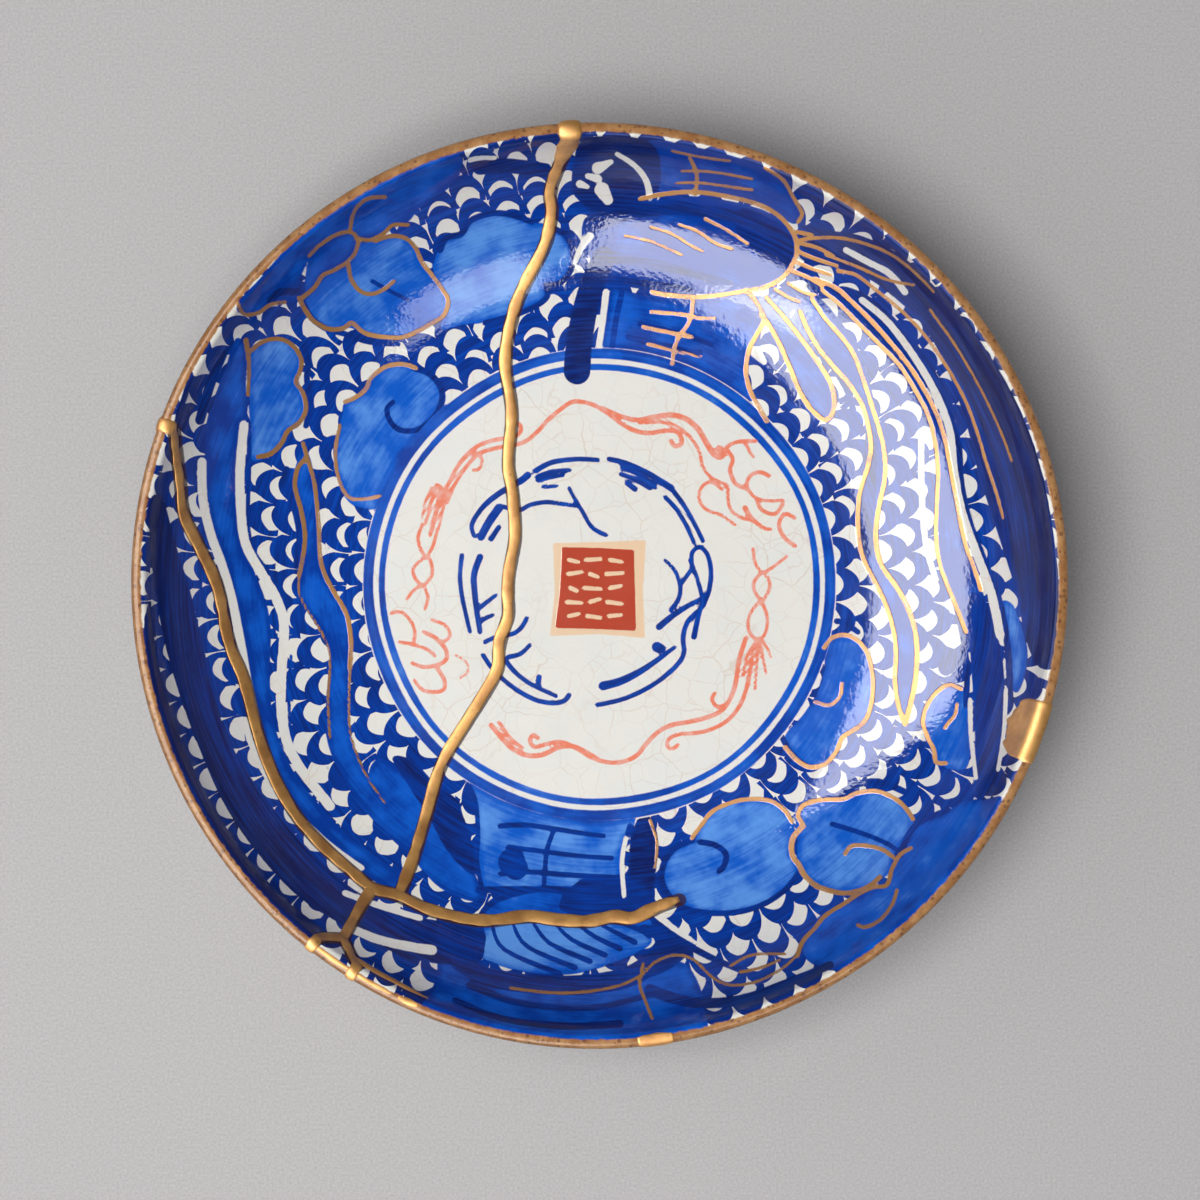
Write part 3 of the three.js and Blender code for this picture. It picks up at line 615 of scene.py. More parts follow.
class DishColours(bpy.types.PropertyGroup):
    """Glaze, paint and gold"""
    glaze: colour_value("Glaze", "Bare glaze", "e9e6dc")
    light_blue: colour_value("Light Blue", "Thin wash of cobalt", "5f9ae6")
    mid_blue: colour_value("Mid Blue", "Full wash of cobalt", "115cc8")
    dark_blue: colour_value("Dark Blue", "Brush stroke of cobalt", "083c9e")
    ink_blue: colour_value("Ink Blue", "Cobalt laid on twice", "131f58")
    iron_red: colour_value("Iron Red", "Thin overglaze red", "ee8263")
    seal_red: colour_value("Seal Red", "Thick overglaze red", "b93418")
    seal_pad: colour_value("Seal Pad", "Tan pad under the seal", "eec89c")
    paint_gold: colour_value("Paint Gold", "Overglaze gold", "a97a42")
    lip_brown: colour_value("Lip Brown", "Iron wash on the lip", "98622c")
    lacquer: colour_value("Lacquer", "Lacquer at a seam's edge", "3c2413")
    seam_gold: colour_value("Seam Gold", "Gold powder on the seams", "c08f4e")
    floor: colour_value("Floor", "Plain table", "8c8989")


def run_along(line):
    """How far along a line of points each one lies."""
    return np.concatenate([[0], np.cumsum(np.linalg.norm(np.diff(line, axis=0), axis=1))])


def read_off(where, keys, pairs):
    """Pairs of values, read off between their keys."""
    return np.stack([np.interp(where, keys, pairs[:, k]) for k in (0, 1)], -1)


def unit(vectors):
    return vectors / np.maximum(np.linalg.norm(vectors, axis=-1, keepdims=True), 1e-9)


def ahead_and_out(line):
    """The directions along a section line and off its face."""
    way = unit(np.gradient(line, axis=0))
    return way, np.stack([way[:, 1], -way[:, 0]], -1)


class DishForm:
    """The dish's section and warp, in millimetres. Stations are those of the break routes."""

    def __init__(self, sizes):
        for name in sizes.__annotations__:
            is_angle = name.endswith(("lean", "angle"))
            setattr(self, name, getattr(sizes, name) / (1 if is_angle else MM))
        slope = math.pi / 2 - self.wall_lean
        self.well_height = self.foot_height + self.floor_thickness
        self.lip_radius = self.lip_thickness / 2
        self.lip_centre = (self.rim_radius - self.lip_radius, self.rim_height - self.lip_radius)
        top_r = self.lip_centre[0] - math.sin(slope) * self.lip_radius
        top_z = self.lip_centre[1] + math.cos(slope) * self.lip_radius
        self.wall_span = top_r - self.well_radius
        rise = top_z - self.well_height
        self.wall_end = math.acos(rise / (self.wall_span * math.tan(slope) - rise))
        self.wall_across = self.wall_span / math.sin(self.wall_end)
        self.wall_up = rise / (1 - math.cos(self.wall_end))
        self.slope = slope
        self.make_outer_line()

    def inner(self, station):
        """Points (r, z) of the inner face and the directions off it."""
        station = np.asarray(station, float)
        share = np.clip((station - 1) * self.wall_span / self.wall_across, 0, math.sin(self.wall_end))
        turn = np.arcsin(share)
        along = unit(np.stack([self.wall_across * np.cos(turn), self.wall_up * np.sin(turn)], -1))
        r = np.where(station <= 1, station * self.well_radius, self.well_radius + self.wall_across * share)
        z = self.well_height + self.wall_up * (1 - np.cos(turn))
        return np.stack([r, z], -1), np.stack([-along[..., 1], along[..., 0]], -1)

    def thickness(self, station):
        share = np.clip((np.asarray(station, float) - 1) * self.wall_span / self.wall_across, 0, 1)
        turn = np.minimum(np.arcsin(share), self.wall_end)
        thinning = np.sqrt(turn / self.wall_end)
        return self.floor_thickness + (self.lip_thickness - self.floor_thickness) * thinning

    def station_of(self, radius):
        return np.where(radius < self.well_radius, radius / self.well_radius,
                        1 + (radius - self.well_radius) / self.wall_span)

    def make_outer_line(self):
        """The section from the axis under the base, over the foot ring and up the outer wall."""
        base, fillet, chamfer = self.foot_height, self.foot_fillet, self.foot_chamfer
        inside, outside = self.foot_radius - self.foot_width, self.foot_radius
        quarter = np.linspace(0, math.pi / 2, 6)
        points = [(r, base) for r in np.linspace(0, inside - fillet, 40)[:-1]]
        points += [(inside - fillet + fillet * math.sin(a), base - fillet + fillet * math.cos(a))
                   for a in quarter]
        points += [(inside, z) for z in np.linspace(base - fillet, chamfer, 6)[1:]]
        points += [(r, 0.0) for r in np.linspace(inside + chamfer, outside - chamfer, 4)]
        points += [(outside, z) for z in np.linspace(chamfer, base - fillet, 6)]
        points += [(outside + fillet - fillet * math.cos(a), base - fillet + fillet * math.sin(a))
                   for a in quarter[1:]]
        first = float(self.station_of(np.float64(outside + 2 * fillet)))
        stations = np.linspace(first, 2, 60)
        face, off = self.inner(stations)
        wall = face - off * self.thickness(stations)[:, None]
        self.outer_line = np.array(points + [tuple(p) for p in wall])
        self.outer_keys = np.concatenate([self.station_of(self.outer_line[:len(points), 0]), stations])
        self.outer_keys = np.maximum.accumulate(self.outer_keys + np.arange(len(self.outer_keys)) * 1e-6)

    def lip(self, steps):
        """The lip's round, from the outer wall over the crest to the inner wall."""
        angles = np.linspace(0, math.pi, steps + 1)
        off = np.array([-math.sin(self.slope), math.cos(self.slope)])
        along = np.array([math.cos(self.slope), math.sin(self.slope)])
        out = -np.cos(angles)[:, None] * off + np.sin(angles)[:, None] * along
        return np.array(self.lip_centre) + out * self.lip_radius, out

    def warp(self, angle, height):
        share = np.clip((height - self.foot_height) / (self.rim_height - self.foot_height), 0, 1)
        share = share * share * (3 - 2 * share)
        return share * (self.oval_warp * np.cos(2 * (angle - self.oval_angle))
                        + self.triangle_warp * np.cos(3 * (angle - self.triangle_angle)))

    def place(self, angle, points):
        """Turns section points to angles about the axis, warped as the kiln left them."""
        r = points[..., 0] + np.where(points[..., 0] > 1, self.warp(angle, points[..., 1]), 0)
        return np.stack([r * np.cos(angle), r * np.sin(angle), points[..., 1] + 0 * angle], -1)

    def turned(self, angle, points, off):
        """Section points and the directions off them, both turned to angles about the axis."""
        radial = np.stack([np.cos(angle), np.sin(angle), 0 * angle], -1)
        return self.place(angle, points), radial * off[:, :1] + np.array([0, 0, 1.0]) * off[:, 1:]

    def section(self):
        """The whole section from the axis under the base round to the axis in the well, evenly
        divided, and the step at each of its points."""
        inner_stations = np.concatenate([np.linspace(2, 1, 400), np.linspace(1, 0, 200)[1:]])
        parts = [
            (self.outer_line, OUTER_STEP),
            (self.lip(24)[0], LIP_STEP),
            (self.inner(inner_stations)[0], INNER_STEP),
        ]
        rows, steps = [], []
        for line, step in parts:
            run = run_along(line)
            count = max(2, round(run[-1] / step))
            even = read_off(np.linspace(0, run[-1], count + 1), run, line)
            if rows:
                even = even[1:]
            rows.append(even)
            steps += [step] * len(even)
        points = np.concatenate(rows)
        points[0, 0] = points[-1, 0] = 0
        return points, np.array(steps)


def add_object(name, data):
    """A new object in the scene, at the origin."""
    added = bpy.data.objects.new(name, data)
    bpy.context.scene.collection.objects.link(added)
    return added


def read_values(items, name, width=1, kind=int):
    """One property of every item of a mesh, as an array."""
    values = np.empty(len(items) * width, kind)
    items.foreach_get(name, values)
    return values


def vertex_points(mesh):
    return read_values(mesh.vertices, "co", 3, float).reshape(-1, 3) / MM


def object_from(name, points_mm, faces):
    """A new object from points in millimetres and a list or array of faces."""
    mesh = bpy.data.meshes.new(name)
    faces = [tuple(f) for f in (faces.tolist() if hasattr(faces, "tolist") else faces)]
    mesh.from_pydata((np.asarray(points_mm, float) * MM).tolist(), [], faces)
    mesh.update()
    return add_object(name, mesh)


def strip_between(first_a, count_a, first_b, count_b):
    """Triangles that join two rings with different numbers of points."""
    if count_a == 1:
        j = np.arange(count_b)
        return np.stack([np.full(count_b, first_a), first_b + (j + 1) % count_b, first_b + j], -1)
    if count_b == 1:
        i = np.arange(count_a)
        return np.stack([first_a + i, first_a + (i + 1) % count_a, np.full(count_a, first_b)], -1)
    turns = np.concatenate([(np.arange(count_a) + 1) / count_a, (np.arange(count_b) + 1) / count_b])
    on_a = np.concatenate([np.ones(count_a, bool), np.zeros(count_b, bool)])
    order = np.argsort(turns, kind="stable")
    on_a = on_a[order]
    i = np.concatenate([[0], np.cumsum(on_a)[:-1]])
    j = np.concatenate([[0], np.cumsum(~on_a)[:-1]])
    third = np.where(on_a, first_a + (i + 1) % count_a, first_b + (j + 1) % count_b)
    return np.stack([first_a + i % count_a, third, first_b + j % count_b], -1)


def whole_dish(form):
    """The dish before it broke, as one closed mesh of even triangles."""
    section, steps = form.section()
    points, faces, start, before = [], [], 0, None
    for (r, z), step in zip(section, steps):
        count = 1 if r < 0.05 else max(8, round(2 * math.pi * r / step))
        angle = np.arange(count) * 2 * math.pi / count
        row = np.tile([r, z], (count, 1))
        points.append(form.place(angle, row))
        if before is not None:
            faces.append(strip_between(before[0], before[1], start, count))
        before = (start, count)
        start += count
    return object_from("whole_dish", np.concatenate(points), np.concatenate(faces))


def smooth_line(points, closed=False, pieces=5):
    """A curve through given points, with each span cut into pieces."""
    points = np.asarray(points, float)
    if len(points) == 2 and not closed:
        return points
    ends = [points[-1:], points, points[:2]] if closed else [points[:1], points, points[-1:]]
    p = np.concatenate(ends)
    spans = len(points) if closed else len(points) - 1
    t = np.linspace(0, 1, pieces, endpoint=False)[:, None]
    out = []
    for i in range(spans):
        a, b, c, d = p[i], p[i + 1], p[i + 2], p[i + 3]
        out.append(0.5 * (2 * b + (c - a) * t + (2 * a - 5 * b + 4 * c - d) * t ** 2
                          + (3 * b - a - 3 * c + d) * t ** 3))
    if not closed:
        out.append(points[-1:])
    return np.concatenate(out)


def route_stations(route, step_mm, form):
    """A break's route as even steps of (angle in radians, station)."""
    line = smooth_line([(math.radians(a), s) for a, s in route])
    face, _ = form.inner(line[:, 1])
    run = run_along(form.place(line[:, 0], face))
    even = np.linspace(0, run[-1], max(3, round(run[-1] / step_mm)) + 1)
    return np.interp(even, run, line[:, 0]), np.interp(even, run, line[:, 1])


def break_blade(name, route, form):
    """A thin blade that parts the dish along a route, square to its face."""
    angle, station = route_stations(route, 1.0, form)
    face, off = form.inner(station)
    centre, normal = form.turned(angle, face, off)
    past = 5.0
    for k in (0, -1):
        if abs(station[k] - LIP_STATION) < 1e-6:
            outward = np.array([math.cos(angle[k]), math.sin(angle[k]), 0]) * math.cos(form.slope)
            beyond = centre[k] + outward * past + np.array([0, 0, past])
            where = 0 if k == 0 else len(centre)
            centre = np.insert(centre, where, beyond, axis=0)
            normal = np.insert(normal, where, normal[k], axis=0)
    side = unit(np.cross(np.gradient(centre, axis=0), normal))
    half = BREAK_GAP / 2
    above, through = 1.5, form.well_height + 2
    corners = [centre + side * a * half + normal * n
               for a, n in ((-1, above), (1, above), (1, -through), (-1, -through))]
    points = np.stack(corners, 1).reshape(-1, 3)
    faces = [(0, 3, 2, 1)]
    for i in range(len(centre) - 1):
        for edge in range(4):
            a, b = 4 * i + edge, 4 * i + (edge + 1) % 4
            faces.append((a, b, b + 4, a + 4))
    last = 4 * (len(centre) - 1)
    faces.append((last, last + 1, last + 2, last + 3))
    return object_from(name, points, faces)


def evaluated_mesh(piece):
    """The piece's mesh with its modifiers worked in."""
    graph = bpy.context.evaluated_depsgraph_get()
    return bpy.data.meshes.new_from_object(piece.evaluated_get(graph), preserve_all_data_layers=True,
                                           depsgraph=graph)


def discard(*pieces):
    for piece in pieces:
        bpy.data.objects.remove(piece)


def part_along_breaks(dish, form):
    """Cuts the dish with a blade for every break and returns the sherds, largest first."""
    blades = [break_blade(f"break_{i}", route, form) for i, route in enumerate(BREAKS)]
    for blade in blades:
        cut = dish.modifiers.new(blade.name, "BOOLEAN")
        cut.operation = "DIFFERENCE"
        cut.solver = "MANIFOLD"
        cut.object = blade
    parted = evaluated_mesh(dish)
    dish.modifiers.clear()
    dish.data = parted
    discard(*blades)
    before = set(bpy.context.scene.objects)
    bpy.ops.object.select_all(action="DESELECT")
    bpy.context.view_layer.objects.active = dish
    dish.select_set(True)
    bpy.ops.object.mode_set(mode="EDIT")
    bpy.ops.mesh.select_all(action="SELECT")
    bpy.ops.mesh.separate(type="LOOSE")
    bpy.ops.object.mode_set(mode="OBJECT")
    sherds = [dish] + [o for o in bpy.context.scene.objects if o not in before]
    if len(sherds) < len(SHERD_NODES):
        raise RuntimeError("the breaks leave fewer sherds than the dish has")
    sherds.sort(key=lambda o: -len(o.data.vertices))
    discard(*sherds[len(SHERD_NODES):])
    return sherds[:len(SHERD_NODES)]


def segment_distance(x, y, a, b):
    """Distances from points to a segment, and how far along it the nearest place is."""
    d = b - a
    t = np.clip(((x - a[0]) * d[0] + (y - a[1]) * d[1]) / max(d @ d, 1e-9), 0, 1)
    return np.hypot(x - a[0] - t * d[0], y - a[1] - t * d[1]), t


class Canvas:
    """What is painted at each point of a face. Every layer is a distance to the nearest edge of
    the paint, in the unit of x and y, positive where there is paint."""

    def __init__(self, x, y):
        self.x = x
        self.y = y
        for name in PAINT_LAYERS:
            setattr(self, name, np.full(len(x), -FAR))
        self.dark_depth = np.full(len(x), 0.15)
        self.wash_tone = np.full(len(x), 0.6)

    def near(self, line, margin):
        low, high = line.min(0) - margin, line.max(0) + margin
        return np.nonzero((self.x > low[0]) & (self.x < high[0]) & (self.y > low[1]) & (self.y < high[1]))[0]

    def shape(self, outline, margin=26.0, pieces=5):
        """Which points are near a closed outline, and their signed distances to it."""
        line = smooth_line(outline, closed=True, pieces=pieces)
        at = self.near(line, margin)
        x, y = self.x[at], self.y[at]
        best = np.full(len(at), FAR)
        inside = np.zeros(len(at), bool)
        for a, b in zip(line, np.roll(line, -1, axis=0)):
            best = np.minimum(best, segment_distance(x, y, a, b)[0])
            if a[1] != b[1]:
                crosses = (a[1] > y) != (b[1] > y)
                inside ^= crosses & (x < (b[0] - a[0]) * (y - a[1]) / (b[1] - a[1]) + a[0])
        return at, np.where(inside, best, -best)

    def stroke(self, start_half, end_half, points, margin=20.0):
        """Which points are near a brush stroke, and how deep inside it they are."""
        line = smooth_line(points)
        at = self.near(line, margin + max(start_half, end_half))
        x, y = self.x[at], self.y[at]
        run = run_along(line)
        best = np.full(len(at), -FAR)
        for i in range(len(line) - 1):
            gap, t = segment_distance(x, y, line[i], line[i + 1])
            share = (run[i] + t * (run[i + 1] - run[i])) / run[-1]
            half = start_half + (end_half - start_half) * share
            best = np.maximum(best, half - gap)
        return at, best

    def add(self, layer, found):
        at, depth = found
        values = getattr(self, layer)
        values[at] = np.maximum(values[at], depth)

    def clear(self, layer, found):
        at, depth = found
        values = getattr(self, layer)
        values[at] = np.minimum(values[at], -depth)

    def tint(self, layer, found, value, soft=2.0):
        at, depth = found
        values = getattr(self, layer)
        share = np.clip(depth / (2 * soft) + 0.5, 0, 1)
        values[at] += (value - values[at]) * share

    def lay_wash(self, found, tone):
        self.clear("dark", found)
        self.clear("scales", (found[0], found[1] - SCALE_UNDER_WASH))
        self.add("wash", found)
        self.tint("wash_tone", found, tone)

    def lay_dark(self, found, depth):
        self.add("dark", found)
        self.tint("dark_depth", found, depth)

    def lay_bare(self, found):
        for layer in ("dark", "scales", "wash"):
            self.clear(layer, found)


def between(first, last, share):
    """The line of points that lies between two others."""
    return [tuple(np.array(a) * (1 - share) + np.array(b) * share) for a, b in zip(first, last)]


def paint_wall(canvas):
    """Lays the wall's painting in the painter's order: washes, darks, lines, bare lines, gold."""
    canvas.scales[:] = FAR
    for tone, outline in WASHES.values():
        canvas.lay_wash(canvas.shape(outline), tone)
    for depth, outline in DARKS.values():
        canvas.lay_dark(canvas.shape(outline), depth)
    for depth, start, end, points in LINES:
        canvas.lay_dark(canvas.stroke(start, end, points), depth)
    for i in range(SHELL_RIBS):
        rib = between(SHELL_FIRST, SHELL_LAST, i / (SHELL_RIBS - 1))
        canvas.lay_dark(canvas.stroke(*SHELL_RIB_HALVES, rib), SHELL_RIB_DEPTH)
    for start, end, points in BARE_LINES:
        canvas.lay_bare(canvas.stroke(start, end, points))
    for start, end, points in GOLDS:
        canvas.add("gold", canvas.stroke(start * GOLD_SHARE, end * GOLD_SHARE, points))


def paint_well(canvas):
    """The well's rings, the end of the wall's bar, the figures, the wreath and the seal."""
    x, y = canvas.x - WELL_CENTRE[0], canvas.y - WELL_CENTRE[1]
    radius = np.hypot(x, y)
    angle = np.arctan2(y, x)
    inside = WALL_START - radius
    everywhere = np.arange(len(x))
    for layer in ("dark", "wash", "scales"):
        canvas.clear(layer, (everywhere, inside))
    canvas.clear("gold", (everywhere, inside - GOLD_INTO_WELL))
    wobble = 0.5 * np.sin(5 * angle) + 0.4 * np.sin(9 * angle + 2)
    for ring, half, tone in (INNER_RING, OUTER_RING):
        depth = half + 0.4 * wobble - np.abs(radius + wobble - ring)
        canvas.add("wash", (everywhere, depth))
        canvas.tint("wash_tone", (everywhere, depth), tone)
    canvas.lay_dark(canvas.stroke(*WELL_BAR[:2], LINES[0][3]), WELL_BAR[2])
    for start, end, points in WELL_BLUES:
        canvas.lay_dark(canvas.stroke(start, end, points), THIN_STROKE)
    for start, end, points in WELL_REDS:
        canvas.add("red", canvas.stroke(start, end, points))
    canvas.add("tan", canvas.shape(SEAL_PAD, pieces=1))
    canvas.add("seal", canvas.shape(SEAL_BLOCK, pieces=1))
    for row, strokes in SEAL_ROWS:
        for start, span, slant in strokes:
            canvas.clear("seal", canvas.stroke(*SEAL_STROKE, [(start, row), (start + span, row + slant)]))


def paint_lacquer(canvas, form):
    """The dark lacquer that shows along one edge of each seam."""
    for route, half in zip(BREAKS, LACQUER_HALVES):
        angle, station = route_stations(route, 3.0, form)
        x, y = to_photo(form.place(angle, form.inner(station)[0]))
        points = list(zip(x + LACQUER_SHIFT[0], y + LACQUER_SHIFT[1]))
        canvas.add("lacquer", canvas.stroke(half, half - 0.4, points, margin=6.0))


def to_photo(points):
    """Where points of the dish, in millimetres, lie in the photograph."""
    scale = (CAMERA_HEIGHT - points[:, 2]) / (CAMERA_HEIGHT - SCALE_HEIGHT) * PIXEL_AT_RIM
    return PHOTO_CENTRE + (points[:, 0] - AXIS_X) / scale, PHOTO_CENTRE - (points[:, 1] - AXIS_Y) / scale


# The outside carries a plain scroll that repeats round the wall. Its points are in millimetres:
# how far along one repeat, and the height above the table.
SCROLL_REPEATS = 9
SCROLL_RADIUS = 60.0
SCROLL_STEM = [(0, 23), (7, 26.5), (14, 27), (21, 23), (28, 19), (35, 19), (41.9, 23)]
SCROLL_STROKES = [
    (0.9, 0.7, [(8, 26.5), (8.5, 21.5), (13, 19.5), (16, 22), (14, 24), (12, 23)]),
    (0.9, 0.7, [(29, 19.3), (30, 24), (34, 26.5), (37.5, 24.5), (36, 22.3), (33.5, 23)]),
    (1.6, 0.6, [(16, 28), (20, 31), (24, 30.5)]),
    (1.6, 0.6, [(3, 25), (2, 29.5), (4.5, 32)]),
    (1.6, 0.6, [(24, 21), (22, 16.5), (18, 15)]),
    (1.6, 0.6, [(36, 19.5), (40, 16), (44, 15.5)]),
    (1.4, 0.7, [(39, 21.5), (41, 26.5), (39, 30.5)]),
]


def paint_outside(points):
    """A canvas for the outside: a scroll round the wall, in millimetres."""
    angle = np.arctan2(points[:, 1], points[:, 0])
    repeat = 2 * np.pi / SCROLL_REPEATS
    along = (angle % repeat) * SCROLL_RADIUS
    canvas = Canvas(along, points[:, 2])
    span = repeat * SCROLL_RADIUS
    for shift in (-span, 0, span):
        for start, end, line in [(0.75, 0.75, SCROLL_STEM)] + SCROLL_STROKES:
            moved = [(px + shift, py) for px, py in line]
            canvas.lay_dark(canvas.stroke(start, end, moved, margin=3.0), THIN_STROKE)
    return canvas


def side_and_run(points, form):
    """For each point of the dish: whether it is on the inner face, how far along the section it
    lies from the axis, on its own side, how far from the crest of the lip, and its angle."""
    line, _ = form.section()
    run = run_along(line)
    crest = int(np.argmax(line[:, 1]))
    angle = np.arctan2(points[:, 1], points[:, 0])
    r = np.hypot(points[:, 0], points[:, 1])
    flat = np.stack([r - form.warp(angle, points[:, 2]), points[:, 2]], -1)
    nearest = np.empty(len(points), int)
    for start in range(0, len(points), 4000):
        part = flat[start:start + 4000]
        gap = (part[:, :1] - line[:, 0]) ** 2 + (part[:, 1:] - line[:, 1]) ** 2
        nearest[start:start + 4000] = gap.argmin(1)
    inner = nearest >= crest
    before, after = np.maximum(nearest - 1, 0), np.minimum(nearest + 1, len(line) - 1)
    way = unit(line[after] - line[before])
    at = run[nearest] + ((flat - line[nearest]) * way).sum(1)
    return inner, np.where(inner, run[-1] - at, at), np.abs(at - run[crest]), angle


def lay_out_map(piece, inner, run, angle):
    """The piece's texture map: most of it for the painted face, the rest for the outside."""
    mesh = piece.data
    corner_vertex = read_values(mesh.loops, "vertex_index")
    face_starts = read_values(mesh.polygons, "loop_start")
    face_sizes = read_values(mesh.polygons, "loop_total")
    votes = np.add.reduceat(inner[corner_vertex].astype(int), face_starts)
    face_inner = np.repeat(votes * 2 > face_sizes, face_sizes)
    flat = np.stack([run * np.cos(angle), run * np.sin(angle)], -1)[corner_vertex]
    uv = np.zeros((len(corner_vertex), 2))
    painted_room, outside_room = ((0.01, 0.01), (0.745, 0.99)), ((0.76, 0.01), (0.99, 0.99))
    for chosen, (low, high) in ((face_inner, painted_room), (~face_inner, outside_room)):
        if not chosen.any():
            continue
        part = flat[chosen]
        size = part.max(0) - part.min(0)
        room = np.array(high) - np.array(low)
        scale = min(room / np.maximum(size, 1e-6))
        uv[chosen] = (part - part.min(0)) * scale + low
    layer = mesh.uv_layers.get("OFBake") or mesh.uv_layers.new(name="OFBake")
    layer.data.foreach_set("uv", uv.astype(np.float32).ravel())


def paint(piece, form):
    """Writes the painting into the piece's points, as distances in millimetres."""
    mesh = piece.data
    points = vertex_points(mesh)
    inner, run, from_crest, angle = side_and_run(points, form)
    lay_out_map(piece, inner, run, angle)
    write_values(mesh, "lip", np.where(inner, LIP_BAND[0], LIP_BAND[1]) - from_crest)
    x, y = to_photo(points)
    face = Canvas(x, y)
    paint_wall(face)
    paint_well(face)
    paint_lacquer(face, form)
    outside = paint_outside(points)
    for name in PAINT_LAYERS:
        depth = np.where(inner, getattr(face, name) * PIXEL_AT_RIM, getattr(outside, name))
        write_values(mesh, name, depth)
    write_values(mesh, "dark_depth", np.where(inner, face.dark_depth, outside.dark_depth))
    write_values(mesh, "wash_tone", np.where(inner, face.wash_tone, outside.wash_tone))
    write_values(mesh, "inside", inner.astype(float))


def write_values(mesh, name, values):
    layer = mesh.attributes.get(name) or mesh.attributes.new(name, "FLOAT", "POINT")
    layer.data.foreach_set("value", np.asarray(values, np.float32))


class Tree:
    """Short ways to add and join nodes."""

    def __init__(self, tree):
        self.tree = tree

    def node(self, kind, inputs=None, **settings):
        node = self.tree.nodes.new(kind)
        for name, value in settings.items():
            setattr(node, name, value)
        for name, value in (inputs or {}).items():
            self.put(node.inputs[name], value)
        return node

    def first(self, kind, inputs=None, **settings):
        return self.node(kind, inputs, **settings).outputs[0]

    def put(self, socket, value):
        if isinstance(value, bpy.types.NodeSocket):
            self.tree.links.new(value, socket)
        else:
            socket.default_value = value

    def math(self, operation, a, b=0):
        return self.first("ShaderNodeMath", {0: a, 1: b}, operation=operation)

    def add(self, a, b):
        return self.math("ADD", a, b)

    def total(self, first, *others):
        for value in others:
            first = self.add(first, value)
        return first

    def sub(self, a, b):
        return self.math("SUBTRACT", a, b)

    def mul(self, a, b):
        return self.math("MULTIPLY", a, b)

    def div(self, a, b):
        return self.math("DIVIDE", a, b)

    def parts(self, vector):
        return self.node("ShaderNodeSeparateXYZ", {0: vector}).outputs

    def flat_and_radius(self, parts):
        """A point laid flat on the table, and its distance from the dish's axis."""
        flat = self.first("ShaderNodeCombineXYZ", {0: parts[0], 1: parts[1]})
        return flat, self.node("ShaderNodeVectorMath", {0: flat}, operation="LENGTH").outputs["Value"]

    def attribute(self, name):
        return self.node("ShaderNodeAttribute", attribute_name=name).outputs["Fac"]

    def noise(self, vector, scale, detail=2.0, roughness=0.5):
        return self.node("ShaderNodeTexNoise", {"Vector": vector, "Scale": scale, "Detail": detail,
                                                "Roughness": roughness}).outputs["Fac"]

    def ramp(self, value, low, high, to_low=0.0, to_high=1.0):
        return self.node("ShaderNodeMapRange", {"Value": value, "From Min": low, "From Max": high,
                                                "To Min": to_low, "To Max": to_high},
                         interpolation_type="SMOOTHSTEP").outputs["Result"]

    def mix(self, share, a, b):
        node = self.node("ShaderNodeMix", data_type="RGBA")
        for index, value in ((0, share), (6, a), (7, b)):
            if isinstance(value, tuple) and len(value) == 3:
                value = (*value, 1.0)
            self.put(node.inputs[index], value)
        return node.outputs[2]


def new_group(name, inputs, outputs):
    """A shader group from its values' names and defaults, None for a vector, and its results."""
    group = bpy.data.node_groups.new(name, "ShaderNodeTree")
    for label, default in inputs.items():
        kind = "NodeSocketVector" if default is None else "NodeSocketFloat"
        socket = group.interface.new_socket(name=label, in_out="INPUT", socket_type=kind)
        if default is not None:
            socket.default_value = default
    for label in outputs:
        group.interface.new_socket(name=label, in_out="OUTPUT", socket_type="NodeSocketFloat")
    t = Tree(group)
    return group, t, t.node("NodeGroupInput").outputs, t.node("NodeGroupOutput").inputs


